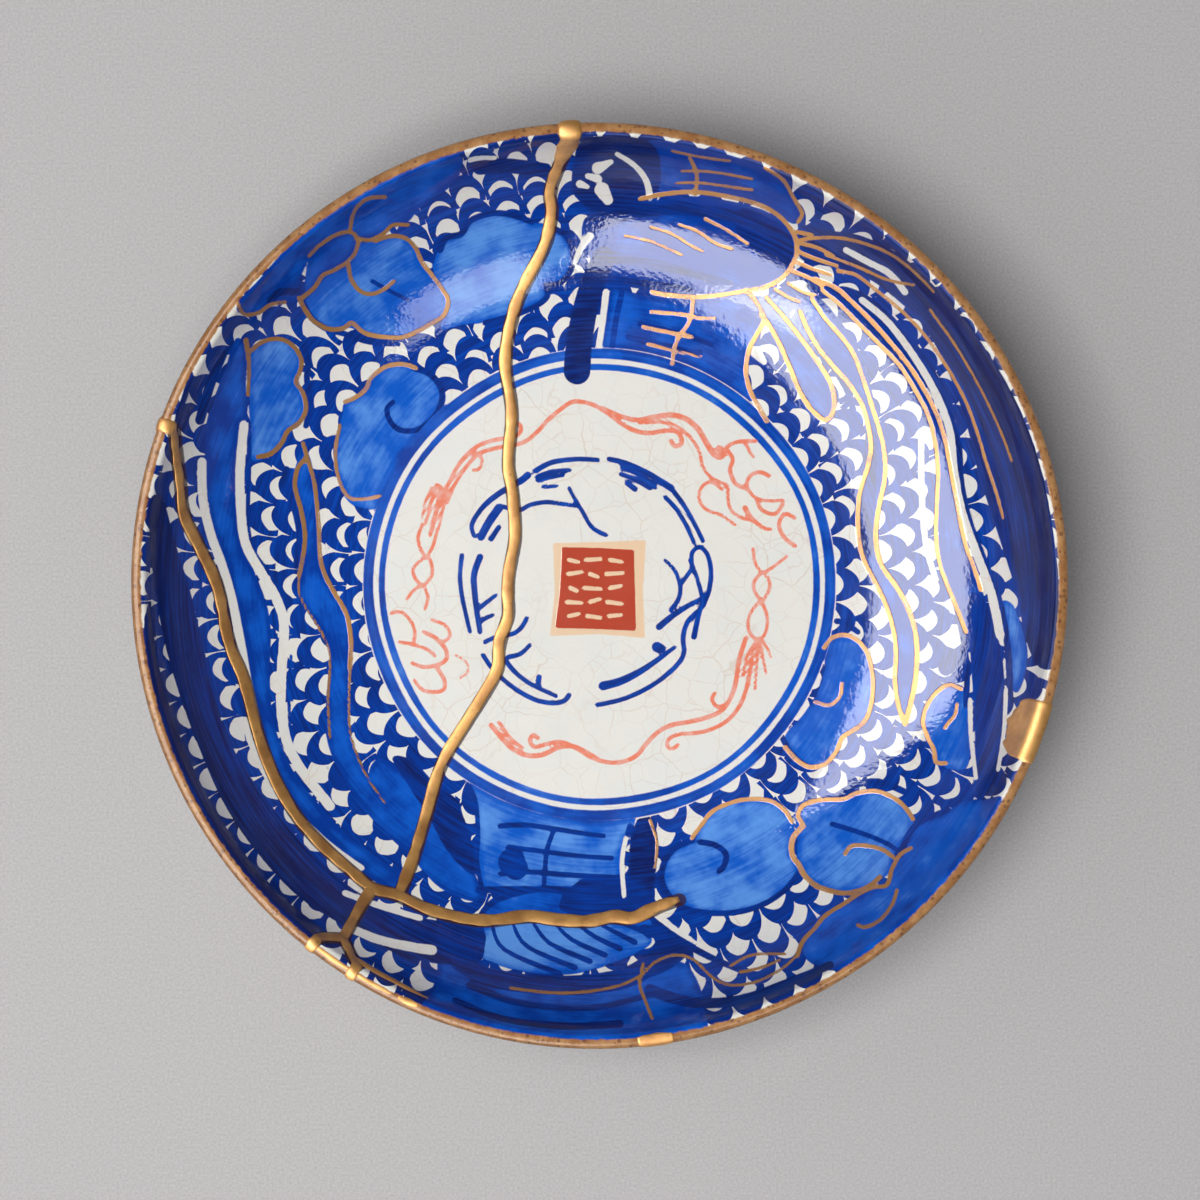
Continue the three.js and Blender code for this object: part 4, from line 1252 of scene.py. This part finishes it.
def one_scale_group():
    """The scale of one row nearest to a point, given by its radius in pixels and its angle: how
    deep the point is in the scale's dark stroke, and whether the scale covers it at all."""
    group, t, given, out = new_group("One Scale", {"Radius": 300, "Angle": 0, "Row Shift": 0},
                                     ("Stroke", "Covers"))
    radius, angle = given["Radius"], given["Angle"]
    place = t.div(t.sub(radius, WALL_START), SCALE_ROW)
    row = t.add(t.math("FLOOR", place), given["Row Shift"])
    row_radius = t.add(t.mul(row, SCALE_ROW), WALL_START)
    around = t.math("ROUND", t.mul(row_radius, 2 * math.pi / SCALE_WIDTH))
    step = t.div(2 * math.pi, around)
    offset = t.mul(t.math("FLOORED_MODULO", row, 2), 0.5)
    cell = t.math("ROUND", t.sub(t.div(angle, step), offset))
    seed = t.first("ShaderNodeCombineXYZ", {0: row, 1: t.math("FLOORED_MODULO", cell, around), 2: 7})
    chance = t.node("ShaderNodeTexWhiteNoise", {"Vector": seed}, noise_dimensions="3D")
    shake = t.node("ShaderNodeSeparateColor", {0: chance.outputs["Color"]}).outputs
    centre = t.mul(t.add(cell, offset), step)
    turn = t.first("ShaderNodeMath", {0: t.sub(angle, centre), 1: math.pi, 2: -math.pi}, operation="WRAP")

    def shaken(value, chance):
        return t.add(value, t.mul(t.sub(chance, 0.5), SCALE_SHAKE))

    side = t.div(shaken(t.mul(turn, radius), shake[0]), SCALE_ALONG)
    crown = t.div(shaken(t.sub(radius, row_radius), shake[1]), SCALE_OUT)
    spread = t.math("SQRT", t.add(t.mul(side, side), t.mul(crown, crown)))
    depth = t.mul(t.sub(1, spread), (SCALE_OUT + SCALE_ALONG) / 2)
    thick = t.add(t.mul(shake[2], 0.5), t.mul(side, 0.3))
    thick = t.mul(t.add(thick, 0.75), SCALE_CROWN - SCALE_TIP)
    line = t.mul(t.math("MAXIMUM", crown, 0), thick)
    line = t.add(line, SCALE_TIP)
    t.put(out["Stroke"], t.sub(line, depth))
    below = t.math("GREATER_THAN", crown, -0.4)
    t.put(out["Covers"], t.mul(t.math("GREATER_THAN", depth, 0), below))
    return group


def scales_group(one_scale):
    """Rows of bare scales under dark strokes: how deep a point is in a stroke, in millimetres."""
    group, t, given, out = new_group("Scales", {"Vector": None, "Waver": 12}, ("Stroke",))
    parts = t.parts(given["Vector"])
    _, radius = t.flat_and_radius(parts)
    away = t.sub(CAMERA_HEIGHT * MM, parts[2])
    radius = t.mul(radius, (CAMERA_HEIGHT - SCALE_HEIGHT) / PIXEL_AT_RIM)
    radius = t.div(radius, away)
    waver = t.sub(t.noise(given["Vector"], 55, 1), 0.5)
    radius = t.add(radius, t.mul(waver, given["Waver"]))
    angle = t.math("ARCTAN2", parts[1], parts[0])
    stroke = -0.5
    for shift in (1, 0, -1):
        found = placed(t, one_scale, {"Radius": radius, "Angle": angle, "Row Shift": shift})
        stroke = t.first("ShaderNodeMix", {0: found["Covers"], 2: stroke, 3: found["Stroke"]},
                         data_type="FLOAT")
    t.put(out["Stroke"], t.mul(stroke, PIXEL_AT_RIM))
    return group


def brush_group():
    """Streaks that a wide brush leaves round the dish, and cloudy pools of paint."""
    group, t, given, out = new_group(
        "Brush Marks", {"Vector": None, "Streak Width": 0.0006, "Cloud Size": 0.006}, ("Streak", "Cloud"))
    parts = t.parts(given["Vector"])
    flat, radius = t.flat_and_radius(parts)
    turn = t.node("ShaderNodeVectorMath", {0: flat}, operation="NORMALIZE").outputs["Vector"]
    turn = t.node("ShaderNodeVectorMath", {0: turn, "Scale": 5}, operation="SCALE").outputs["Vector"]
    turned = t.parts(turn)
    across = t.div(t.add(radius, t.mul(parts[2], 0.8)), given["Streak Width"])
    streaked = t.first("ShaderNodeCombineXYZ", {0: turned[0], 1: turned[1], 2: across})
    t.put(out["Streak"], t.noise(streaked, 1, 3, 0.6))
    cloud_scale = t.div(1, given["Cloud Size"])
    t.put(out["Cloud"], t.noise(given["Vector"], cloud_scale, 3, 0.55))
    return group


def crackle_group():
    """A net of fine cracks in the glaze, of two sizes, and how stained they are."""
    group, t, given, out = new_group(
        "Crackle", {"Vector": None, "Cell Size": 0.004, "Line Width": 0.03}, ("Line",))
    scale = t.div(1, given["Cell Size"])
    bend = t.node("ShaderNodeTexNoise", {"Vector": given["Vector"], "Scale": scale, "Detail": 2})
    bent = t.node("ShaderNodeVectorMath", {0: bend.outputs["Color"], "Scale": 0.0022}, operation="SCALE")
    moved = t.node("ShaderNodeVectorMath", {0: given["Vector"], 1: bent.outputs["Vector"]},
                   operation="ADD").outputs["Vector"]
    lines = []
    for size in (1, 0.45):
        edge = t.node("ShaderNodeTexVoronoi", {"Vector": moved, "Scale": t.mul(scale, size)},
                      feature="DISTANCE_TO_EDGE").outputs["Distance"]
        lines.append(t.ramp(edge, 0, t.mul(given["Line Width"], size), 1, 0))
    stain = t.noise(given["Vector"], t.mul(scale, 0.3), 2)
    stain = t.ramp(stain, 0.35, 0.65, 0.15, 1)
    both = t.math("MAXIMUM", t.mul(lines[0], 0.55), lines[1])
    t.put(out["Line"], t.mul(both, stain))
    return group


def speckle_group():
    """Scattered dots: a mask that is 1 on a dot."""
    group, t, given, out = new_group(
        "Speckle", {"Vector": None, "Spacing": 0.001, "Dot Size": 0.2, "Share": 0.3}, ("Mask",))
    scale = t.div(1, given["Spacing"])
    cells = t.node("ShaderNodeTexVoronoi", {"Vector": given["Vector"], "Scale": scale})
    pick = t.node("ShaderNodeSeparateColor", {0: cells.outputs["Color"]})
    chosen = t.math("LESS_THAN", pick.outputs[0], given["Share"])
    size = t.mul(given["Dot Size"], t.add(0.4, pick.outputs[1]))
    dot = t.ramp(cells.outputs["Distance"], t.mul(size, 0.6), size, 1, 0)
    t.put(out["Mask"], t.mul(dot, chosen))
    return group


def placed(t, group, inputs):
    node = t.node("ShaderNodeGroup", node_tree=group)
    for name, value in inputs.items():
        t.put(node.inputs[name], value)
    return node.outputs


def speckled(t, groups, place, spacing, dot_size, share):
    return placed(t, groups["speckle"], {"Vector": place, "Spacing": spacing, "Dot Size": dot_size,
                                         "Share": share})["Mask"]


def new_material(name):
    """A material with an empty tree, and the places of the points that it covers."""
    material = bpy.data.materials.new(name)
    material.use_nodes = True
    material.node_tree.nodes.clear()
    t = Tree(material.node_tree)
    return material, t, t.node("ShaderNodeTexCoord").outputs["Object"]


def porcelain_material(colours, groups):
    """Glossy glaze over the painting, with overglaze gold and reds, crackle and an iron lip."""
    material, t, place = new_material("painted_porcelain")
    brush = placed(t, groups["brush"], {"Vector": place})
    wobble = t.sub(t.noise(place, 900, 2), 0.5)
    grain = t.noise(place, 5200, 2, 0.7)

    def mask(layer, soft, ragged=0.12):
        depth = t.add(t.attribute(layer), t.mul(wobble, ragged))
        return t.ramp(depth, -soft, soft)

    crackle = placed(t, groups["crackle"], {"Vector": place})["Line"]
    specks = speckled(t, groups, place, 0.0075, 0.028, 0.16)
    cloud = brush["Cloud"]
    streak = t.ramp(brush["Streak"], 0.3, 0.7, -0.5, 0.5)
    inside = t.attribute("inside")

    glaze = t.mix(t.ramp(cloud, 0.35, 0.7, 0, 0.35), colours.glaze[:], linear(GREY_GLAZE))
    glaze = t.mix(t.mul(crackle, 0.4), glaze, linear(CRACK_STAIN))
    glaze = t.mix(t.mul(specks, 0.75), glaze, linear(SPECK))

    pool = t.ramp(t.attribute("wash"), 0, 1.3, 0.5, 0)
    tone = t.total(t.attribute("wash_tone"), pool, t.mul(t.sub(cloud, 0.5), 2.4), t.mul(streak, 0.3))
    wash = t.mix(t.ramp(tone, 0, 1), colours.light_blue[:], colours.mid_blue[:])
    wash = t.mix(t.ramp(tone, 0.95, 1.75), wash, colours.dark_blue[:])
    painted = t.mix(mask("wash", 0.10), glaze, wash)
    scales = placed(t, groups["scales"], {"Vector": place})["Stroke"]
    scales = t.math("MINIMUM", scales, t.attribute("scales"))
    scales = t.add(scales, t.mul(wobble, 0.25))

    height = t.parts(place)[2]
    near_lip = t.ramp(height, DARKER_FROM, DARKER_TO, 0, 0.45)
    depth = t.total(t.attribute("dark_depth"), t.mul(streak, 0.85), near_lip,
                    t.mul(t.sub(cloud, 0.5), 0.9))
    dark = t.mix(t.ramp(depth, -0.2, 1.3), colours.dark_blue[:], colours.ink_blue[:])
    thin = t.ramp(t.sub(0.12, depth), 0, 0.7, 0, 0.5)
    dark = t.mix(thin, dark, colours.mid_blue[:])
    painted = t.mix(t.math("MAXIMUM", mask("dark", 0.08), t.ramp(scales, -0.06, 0.06)), painted, dark)

    patchy = t.ramp(t.noise(place, 700, 3), 0.3, 0.62, 0.7, 1)
    painted = t.mix(t.mul(mask("red", 0.09), patchy), painted, colours.iron_red[:])
    painted = t.mix(t.mul(mask("tan", 0.16), 0.85), painted, colours.seal_pad[:])
    painted = t.mix(t.mul(mask("seal", 0.07), 0.95), painted, colours.seal_red[:])

    worn = t.ramp(t.add(grain, t.mul(cloud, 0.5)), 0.8, 0.95, 1, 0.35)
    gold = t.mul(mask("gold", 0.07, 0.2), worn)
    painted = t.mix(t.mul(gold, inside), painted, colours.paint_gold[:])

    painted = t.mix(t.mul(mask("lacquer", 0.06), 0.85), painted, colours.lacquer[:])

    lip = mask("lip", 0.14, 0.6)
    rust = speckled(t, groups, place, 0.0008, 0.42, 0.55)
    ochre = t.ramp(t.noise(place, 420, 4, 0.7), 0.35, 0.68)
    brown = t.mix(ochre, colours.lip_brown[:], linear(OCHRE))
    brown = t.mix(t.mul(rust, 0.75), brown, linear(RUST))
    painted = t.mix(t.mul(lip, 0.96), painted, brown)

    sole = t.ramp(height, 0.0004, 0.0012, 1, 0)
    biscuit = t.mix(t.noise(place, 900, 3), linear(PALE_BISCUIT), linear(DARK_BISCUIT))
    painted = t.mix(sole, painted, biscuit)

    rough = t.ramp(t.noise(place, 260, 3), 0.3, 0.7, 0.06, 0.12)
    rough = t.total(rough, t.mul(sole, 0.5), t.mul(lip, 0.12), t.mul(gold, 0.3))
    metal = t.mul(t.mul(gold, inside), 0.4)
    ripple = t.add(t.mul(t.noise(place, 1500, 1), 0.55), t.mul(t.noise(place, 420, 1), 0.8))
    relief = t.add(ripple, t.mul(t.add(gold, mask("seal", 0.1)), 0.9))
    shine = t.math("MAXIMUM", t.ramp(height, 0.018, 0.028, 0.5, 0.08), t.mul(lip, 0.26))
    bump = t.node("ShaderNodeBump", {"Height": relief, "Strength": 0.42, "Distance": 0.0001})
    shader = t.node("ShaderNodeBsdfPrincipled", {
        "Base Color": painted, "Roughness": rough, "Metallic": metal, "Normal": bump.outputs["Normal"],
        "Specular IOR Level": shine, "IOR": 1.45,
    })
    t.node("ShaderNodeOutputMaterial", {"Surface": shader.outputs["BSDF"]})
    return material


def gold_material(colours, groups):
    """Gold powder on lacquer: satin, a little grainy, darker where the powder is thin."""
    material, t, place = new_material("seam_gold")
    thin = speckled(t, groups, place, 0.0009, 0.3, 0.3)
    cloud = t.noise(place, 240, 3)
    tone = t.mix(t.ramp(cloud, 0.35, 0.7), colours.seam_gold[:], linear(DARK_GOLD))
    tone = t.mix(t.mul(thin, 0.4), tone, linear(THIN_GOLD))
    rough = t.ramp(t.noise(place, 900, 3), 0.3, 0.7, 0.42, 0.58)
    relief = t.add(t.mul(t.noise(place, 2600, 2), 0.4), t.noise(place, 480, 2))
    bump = t.node("ShaderNodeBump", {"Height": relief, "Strength": 0.35, "Distance": 0.00012})
    shader = t.node("ShaderNodeBsdfPrincipled", {
        "Base Color": tone, "Roughness": rough, "Normal": bump.outputs["Normal"], "Metallic": 0.42,
    })
    t.node("ShaderNodeOutputMaterial", {"Surface": shader.outputs["BSDF"]})
    return material


def shared(name, make, *given):
    """A material or node group made once and found again by its name."""
    found = bpy.data.materials.get(name) or bpy.data.node_groups.get(name)
    return found or make(*given)


def finish_groups():
    return {
        "brush": shared("Brush Marks", brush_group),
        "crackle": shared("Crackle", crackle_group),
        "speckle": shared("Speckle", speckle_group),
        "scales": shared("Scales", scales_group, shared("One Scale", one_scale_group)),
    }


def gold_finish():
    return shared("seam_gold", gold_material, bpy.context.scene.dish_colours, finish_groups())


def bead_nodes():
    """A tree that draws a flat round bead along a line of points, square to the face under it."""
    tree = bpy.data.node_groups.new("Gold Bead", "GeometryNodeTree")
    tree.interface.new_socket(name="Geometry", in_out="OUTPUT", socket_type="NodeSocketGeometry")
    for label, kind, default in (
            ("Geometry", "NodeSocketGeometry", None), ("Half Width", "NodeSocketFloat", 0.0009),
            ("Height", "NodeSocketFloat", 0.0003), ("Sides", "NodeSocketInt", BEAD_SIDES),
            ("Gold", "NodeSocketMaterial", None)):
        socket = tree.interface.new_socket(name=label, in_out="INPUT", socket_type=kind)
        if default is not None:
            socket.default_value = default
    t = Tree(tree)
    given = t.node("NodeGroupInput").outputs
    off = t.first("GeometryNodeInputNamedAttribute", {"Name": "off"}, data_type="FLOAT_VECTOR")
    spread = t.first("GeometryNodeInputNamedAttribute", {"Name": "spread"}, data_type="FLOAT")
    line = t.first("GeometryNodeMeshToCurve", {"Mesh": given["Geometry"]})
    facing = t.first("GeometryNodeSetCurveNormal", {"Curve": line, "Normal": off}, mode="FREE")
    wide = t.first("GeometryNodeSetCurveRadius", {"Curve": facing, "Radius": spread})
    circle = t.first(
        "GeometryNodeCurvePrimitiveCircle", {"Resolution": given["Sides"], "Radius": 1}, mode="RADIUS")
    size = t.first("ShaderNodeCombineXYZ", {0: given["Height"], 1: given["Half Width"], 2: 1})
    oval = t.first("GeometryNodeTransform", {"Geometry": circle, "Scale": size})
    swept = t.node("GeometryNodeCurveToMesh", {"Curve": wide, "Profile Curve": oval, "Fill Caps": True})
    if "Scale" in swept.inputs:
        t.put(swept.inputs["Scale"], spread)
    smooth = t.first("GeometryNodeSetShadeSmooth", {"Geometry": swept.outputs[0]})
    real = t.first("GeometryNodeRealizeInstances", {0: smooth})
    done = t.first("GeometryNodeSetMaterial", {"Geometry": real, "Material": given["Gold"]})
    t.node("NodeGroupOutput", {0: done})
    return tree


def set_inputs(modifier, values):
    """Sets a Geometry Nodes modifier's inputs by their names."""
    for item in modifier.node_group.interface.items_tree:
        if item.item_type == "SOCKET" and item.in_out == "INPUT" and item.name in values:
            modifier[item.identifier] = values[item.name]


def bead_line(name, points, off, spread):
    """A chain of edges that carries the face's direction and the bead's spread."""
    mesh = bpy.data.meshes.new(name)
    edges = [(i, i + 1) for i in range(len(points) - 1)]
    mesh.from_pydata((points * MM).tolist(), edges, [])
    directions = mesh.attributes.new("off", "FLOAT_VECTOR", "POINT")
    directions.data.foreach_set("vector", off.astype(np.float32).ravel())
    write_values(mesh, "spread", spread)
    return add_object(name, mesh)


def inner_route(route, form, step=0.6):
    """A route's points on the inner face and the directions off it."""
    angle, station = route_stations(route, step, form)
    return form.turned(angle, *form.inner(station))


def outer_route(route, form, step=0.35):
    """The same route as it shows on the outside and the underside."""
    angle, station = route_stations(route, step, form)
    face = read_off(station, form.outer_keys, form.outer_line)
    off = unit(read_off(station, form.outer_keys, ahead_and_out(form.outer_line)[1]))
    return form.turned(angle, face, off)


def over_lip(angle_degrees, form):
    """Points over the lip at one angle, from the outside in."""
    points, out = form.lip(10)
    return form.turned(np.full(len(points), math.radians(angle_degrees)), points, out)


def bead_runs(route, form):
    """The lines of points that a break's gold follows, inside, over the lip and outside."""
    inside, outside = inner_route(route, form), outer_route(route, form)
    if route[0][1] == LIP_STATION:
        lip = over_lip(route[0][0], form)
        return [[np.concatenate([outside[k][::-1], lip[k][1:-1], inside[k]]) for k in (0, 1)]]
    if route[-1][1] == LIP_STATION:
        lip = over_lip(route[-1][0], form)
        return [[np.concatenate([inside[k], lip[k][::-1][1:-1], outside[k][::-1]]) for k in (0, 1)]]
    return [inside, outside]


def wavering(count, seed, amount=0.16):
    """A slowly changing factor about 1, as a hand-laid bead has."""
    chance = np.random.default_rng(seed)
    knots = chance.uniform(-1, 1, max(4, count // 3))
    return 1 + amount * np.interp(np.linspace(0, len(knots) - 1, count), np.arange(len(knots)), knots)


def seam_runs(form, gold):
    """Every line of gold: its points, the directions off the face, and how it swells and thins."""
    runs = []
    for route in BREAKS:
        for points, off in bead_runs(route, form):
            spread = wavering(len(points), len(runs) + FIRST_SEED)
            if route is LONG_ROUTE:
                lip_gap = np.linalg.norm(points - points[np.argmax(points[:, 2])], axis=1)
                knob = np.clip(1 - (lip_gap - KNOB_REACH) / KNOB_TAPER, 0, 1)
                spread *= 1 + (gold.knob_width / gold.seam_width - 1) * knob
            if route is LEFT_ROUTE:
                spread *= LEFT_SPREAD
                spread[-END_STEPS:] *= np.linspace(1, END_SPREAD, END_STEPS)
                spread[:END_STEPS] *= np.linspace(END_SPREAD, 1, END_STEPS)
            runs.append((points, off, spread))
    points, off = inner_route(SLIVER_ROUTE, form)
    taper = np.interp(np.linspace(0, 1, len(points)), [0, 0.1, 0.75, 1], [0.9, 1.05, 0.8, 0.2])
    runs.append((points, off, taper * gold.sliver_width / gold.seam_width))
    return runs


def stand_for(piece, node):
    """Hides the solid that the piece replaces and hangs the piece on the root body. The dish is one body."""
    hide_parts(node)
    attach(piece, "root")


class DISH_OT_sherds(bpy.types.Operator):
    """Make the four painted sherds"""
    bl_idname = "dish.sherds"
    bl_label = "Painted Sherds"

    def execute(self, context):
        form = DishForm(context.scene.dish_sizes)
        sherds = part_along_breaks(whole_dish(form), form)
        finish = shared("painted_porcelain", porcelain_material, context.scene.dish_colours, finish_groups())
        for piece, node in zip(sherds, SHERD_NODES):
            piece.name = "painted_" + node
            piece.data.name = piece.name
            piece.data.shade_smooth()
            piece.data.set_sharp_from_angle(angle=math.radians(50))
            paint(piece, form)
            piece.data.materials.clear()
            piece.data.materials.append(finish)
            stand_for(piece, node)
        return {"FINISHED"}


class DISH_OT_gold_seams(bpy.types.Operator):
    """Lay the raised gold along the breaks"""
    bl_idname = "dish.gold_seams"
    bl_label = "Gold Seams"

    def execute(self, context):
        form = DishForm(context.scene.dish_sizes)
        gold = context.scene.dish_gold
        nodes = bead_nodes()
        lines = []
        for i, run in enumerate(seam_runs(form, gold)):
            line = bead_line(f"seam_line_{i}", *run)
            sweep = line.modifiers.new("bead", "NODES")
            sweep.node_group = nodes
            set_inputs(sweep, {"Half Width": gold.seam_width / 2, "Height": gold.bead_height,
                               "Sides": BEAD_SIDES, "Gold": gold_finish()})
            lines.append(line)
        for i, smear in enumerate(CREST_SMEARS):
            lines.append(lip_patch(f"smear_{i}", form, *smear, SMEAR_PROUD, steps=(28, 12), power=2.0))
        bead = joined("gold_seam_beads", lines)
        lift_above_table(bead)
        bead.data.materials.clear()
        bead.data.materials.append(gold_finish())
        stand_for(bead, "gold_seams")
        return {"FINISHED"}


def joined(name, sources):
    """One plain mesh from several objects' worked-out meshes."""
    points, faces, start = [], [], 0
    for source in sources:
        mesh = evaluated_mesh(source)
        points.append(vertex_points(mesh))
        faces += [tuple(start + v for v in face.vertices) for face in mesh.polygons]
        start += len(mesh.vertices)
        bpy.data.meshes.remove(mesh)
    discard(*sources)
    piece = object_from(name, np.concatenate(points), faces)
    piece.data.shade_smooth()
    return piece


def lift_above_table(piece):
    """Nothing reaches below the sole of the foot."""
    for vertex in piece.data.vertices:
        vertex.co.z = max(vertex.co.z, 0.0)
    piece.data.update()


def lip_patch(name, form, angle_degrees, width, depth_in, depth_out, proud, steps=(40, 44), power=3.0):
    """A rounded patch of gold over the lip: its edges dip into the glaze. It is width wide, in
    millimetres, and reaches depth_in and depth_out from the crest."""
    across, around = steps
    dip, buried, edge_share = 0.15, 0.5, 0.08
    section = np.concatenate([
        form.outer_line[-30:], form.lip(12)[0][1:-1], form.inner(np.linspace(2, 1.55, 60))[0],
    ])
    run = run_along(section)
    crest = run[int(np.argmax(section[:, 1]))]
    out = ahead_and_out(section)[1]
    tops, bottoms = [], []
    for i in range(across + 1):
        u = -1 + 2 * i / across
        reach = max(1 - abs(u) ** power, 0) ** (1 / power)
        ragged = 1 + 0.05 * math.sin(7 * u + 1) + 0.03 * math.sin(17 * u)
        angle = math.radians(angle_degrees) + u * width / 2 / form.rim_radius
        v = np.linspace(-depth_out, depth_in, around + 1) * reach * ragged
        point = read_off(crest + v, run, section)
        normal = read_off(crest + v, run, out)
        edge = np.minimum(1 - abs(u), 0.5 - np.abs(np.linspace(-0.5, 0.5, around + 1)))
        lift = np.clip(edge / edge_share, 0, 1) ** 0.5 * (proud + dip) - dip
        angles = np.full(around + 1, angle)
        tops.append(form.place(angles, point + normal * lift[:, None]))
        bottoms.append(form.place(angles, point - normal * buried))
    rows, row = across + 1, around + 1
    points = np.concatenate(tops + bottoms)
    lower = rows * row
    faces = []
    for i in range(across):
        for j in range(around):
            a = i * row + j
            faces.append((a, a + row, a + row + 1, a + 1))
            faces.append((lower + a, lower + a + 1, lower + a + row + 1, lower + a + row))
    rim = [i * row for i in range(rows)] + [across * row + j for j in range(1, row)]
    rim += [i * row + around for i in range(across - 1, -1, -1)] + list(range(around - 1, 0, -1))
    for a, b in zip(rim, rim[1:] + rim[:1]):
        faces.append((b, a, lower + a, lower + b))
    piece = object_from(name, points, faces)
    piece.data.shade_smooth()
    piece.data.materials.append(gold_finish())
    return piece


class DISH_OT_lip_repairs(bpy.types.Operator):
    """Fill the two chips of the lip with gold"""
    bl_idname = "dish.lip_repairs"
    bl_label = "Lip Repairs"

    def execute(self, context):
        form = DishForm(context.scene.dish_sizes)
        proud = context.scene.dish_gold.chip_height / MM
        side = lip_patch("side_chip_gold", form, *SIDE_CHIP, proud)
        front = lip_patch("front_chip_gold", form, *FRONT_CHIP, proud * 0.7, steps=(30, 20), power=2.0)
        stand_for(side, "side_chip_fill")
        stand_for(front, "front_chip_fill")
        return {"FINISHED"}


# Lights: name, azimuth and angle from upright in degrees, distance, width and height in metres,
# brightness beside a white surface in full light, and whether it lights or is only mirrored
LIGHTS = [
    ("left_card", 194, 46, 1.00, 1.45, 1.05, 12.2, "mirrored"),
    ("front_card", 252, 59, 1.00, 0.60, 0.60, 11.5, "mirrored"),
    ("right_card", 294, 46, 1.00, 0.34, 0.42, 6.0, "mirrored"),
    ("key", 206, 10, 0.90, 0.34, 0.34, 16.8, "lights"),
    ("ceiling", 90, 0, 1.50, 3.00, 3.00, 0.35, "lights"),
]


class DISH_OT_stage(bpy.types.Operator):
    """Add the table, the camera and the lights"""
    bl_idname = "dish.stage"
    bl_label = "Table, Camera and Lights"

    def execute(self, context):
        self.add_table(context.scene.dish_colours)
        self.add_camera(context.scene)
        for light in LIGHTS:
            self.add_light(*light)
        world = bpy.data.worlds.new("room")
        world.use_nodes = True
        sky = world.node_tree.nodes["Background"].inputs
        sky["Color"].default_value = ROOM_COLOUR
        sky["Strength"].default_value = ROOM_STRENGTH
        context.scene.world = world
        context.scene.view_settings.view_transform = "Standard"
        return {"FINISHED"}

    def add_table(self, colours):
        corners = [(x * TABLE_HALF, y * TABLE_HALF, 0) for x, y in ((-1, -1), (1, -1), (1, 1), (-1, 1))]
        table = object_from("table", corners, [(0, 1, 2, 3)])
        material, t, place = new_material("plain_table")
        tone = t.mix(t.noise(place, 2400, 3, 0.7), colours.floor[:], linear(PALE_TABLE))
        shader = t.node("ShaderNodeBsdfPrincipled", {"Base Color": tone, "Roughness": 0.8})
        t.node("ShaderNodeOutputMaterial", {"Surface": shader.outputs["BSDF"]})
        table.data.materials.append(material)

    def add_camera(self, scene):
        camera = add_object("camera", bpy.data.cameras.new("camera"))
        camera.location = (AXIS_X * MM, AXIS_Y * MM, CAMERA_HEIGHT * MM)
        camera.data.sensor_width = SENSOR_WIDTH
        seen = PHOTO_WIDTH * PIXEL_AT_RIM
        camera.data.lens = SENSOR_WIDTH * (CAMERA_HEIGHT - SCALE_HEIGHT) / seen
        camera.data.clip_start = 0.05
        scene.camera = camera

    def add_light(self, name, azimuth, tilt, distance, width, height, brightness, use):
        light = bpy.data.lights.new(name, "AREA")
        light.shape = "RECTANGLE"
        light.size = width
        light.size_y = height
        light.energy = brightness * math.pi * width * height
        lamp = add_object(name, light)
        lamp.visible_diffuse = use == "lights"
        lamp.visible_glossy = use == "mirrored"
        a, e = math.radians(azimuth), math.radians(tilt)
        back = (math.cos(a) * math.sin(e), math.sin(a) * math.sin(e), math.cos(e))
        lamp.location = [distance * v for v in back]
        lamp.rotation_euler = (e, 0, a + math.pi / 2)


class DISH_PT_panel(bpy.types.Panel):
    """The dish's pieces and sizes"""
    bl_label = "Mended Dish"
    bl_idname = "DISH_PT_panel"
    bl_space_type = "VIEW_3D"
    bl_region_type = "UI"
    bl_category = "Dish"

    def draw(self, context):
        layout = self.layout
        for operator in (DISH_OT_sherds, DISH_OT_gold_seams, DISH_OT_lip_repairs, DISH_OT_stage):
            layout.operator(operator.bl_idname)
        for group in (context.scene.dish_sizes, context.scene.dish_gold, context.scene.dish_colours):
            box = layout.box()
            for name in group.__annotations__:
                box.prop(group, name)


CLASSES = (DishSizes, GoldSizes, DishColours, DISH_OT_sherds, DISH_OT_gold_seams, DISH_OT_lip_repairs,
           DISH_OT_stage, DISH_PT_panel)


def register():
    for cls in CLASSES:
        bpy.utils.register_class(cls)
    bpy.types.Scene.dish_sizes = bpy.props.PointerProperty(type=DishSizes)
    bpy.types.Scene.dish_gold = bpy.props.PointerProperty(type=GoldSizes)
    bpy.types.Scene.dish_colours = bpy.props.PointerProperty(type=DishColours)


def unregister():
    del bpy.types.Scene.dish_colours
    del bpy.types.Scene.dish_gold
    del bpy.types.Scene.dish_sizes
    for cls in reversed(CLASSES):
        bpy.utils.unregister_class(cls)


def main():
    register()
    bpy.ops.dish.stage()
    bpy.ops.dish.sherds()
    bpy.ops.dish.gold_seams()
    bpy.ops.dish.lip_repairs()


if __name__ == "__main__":
    main()
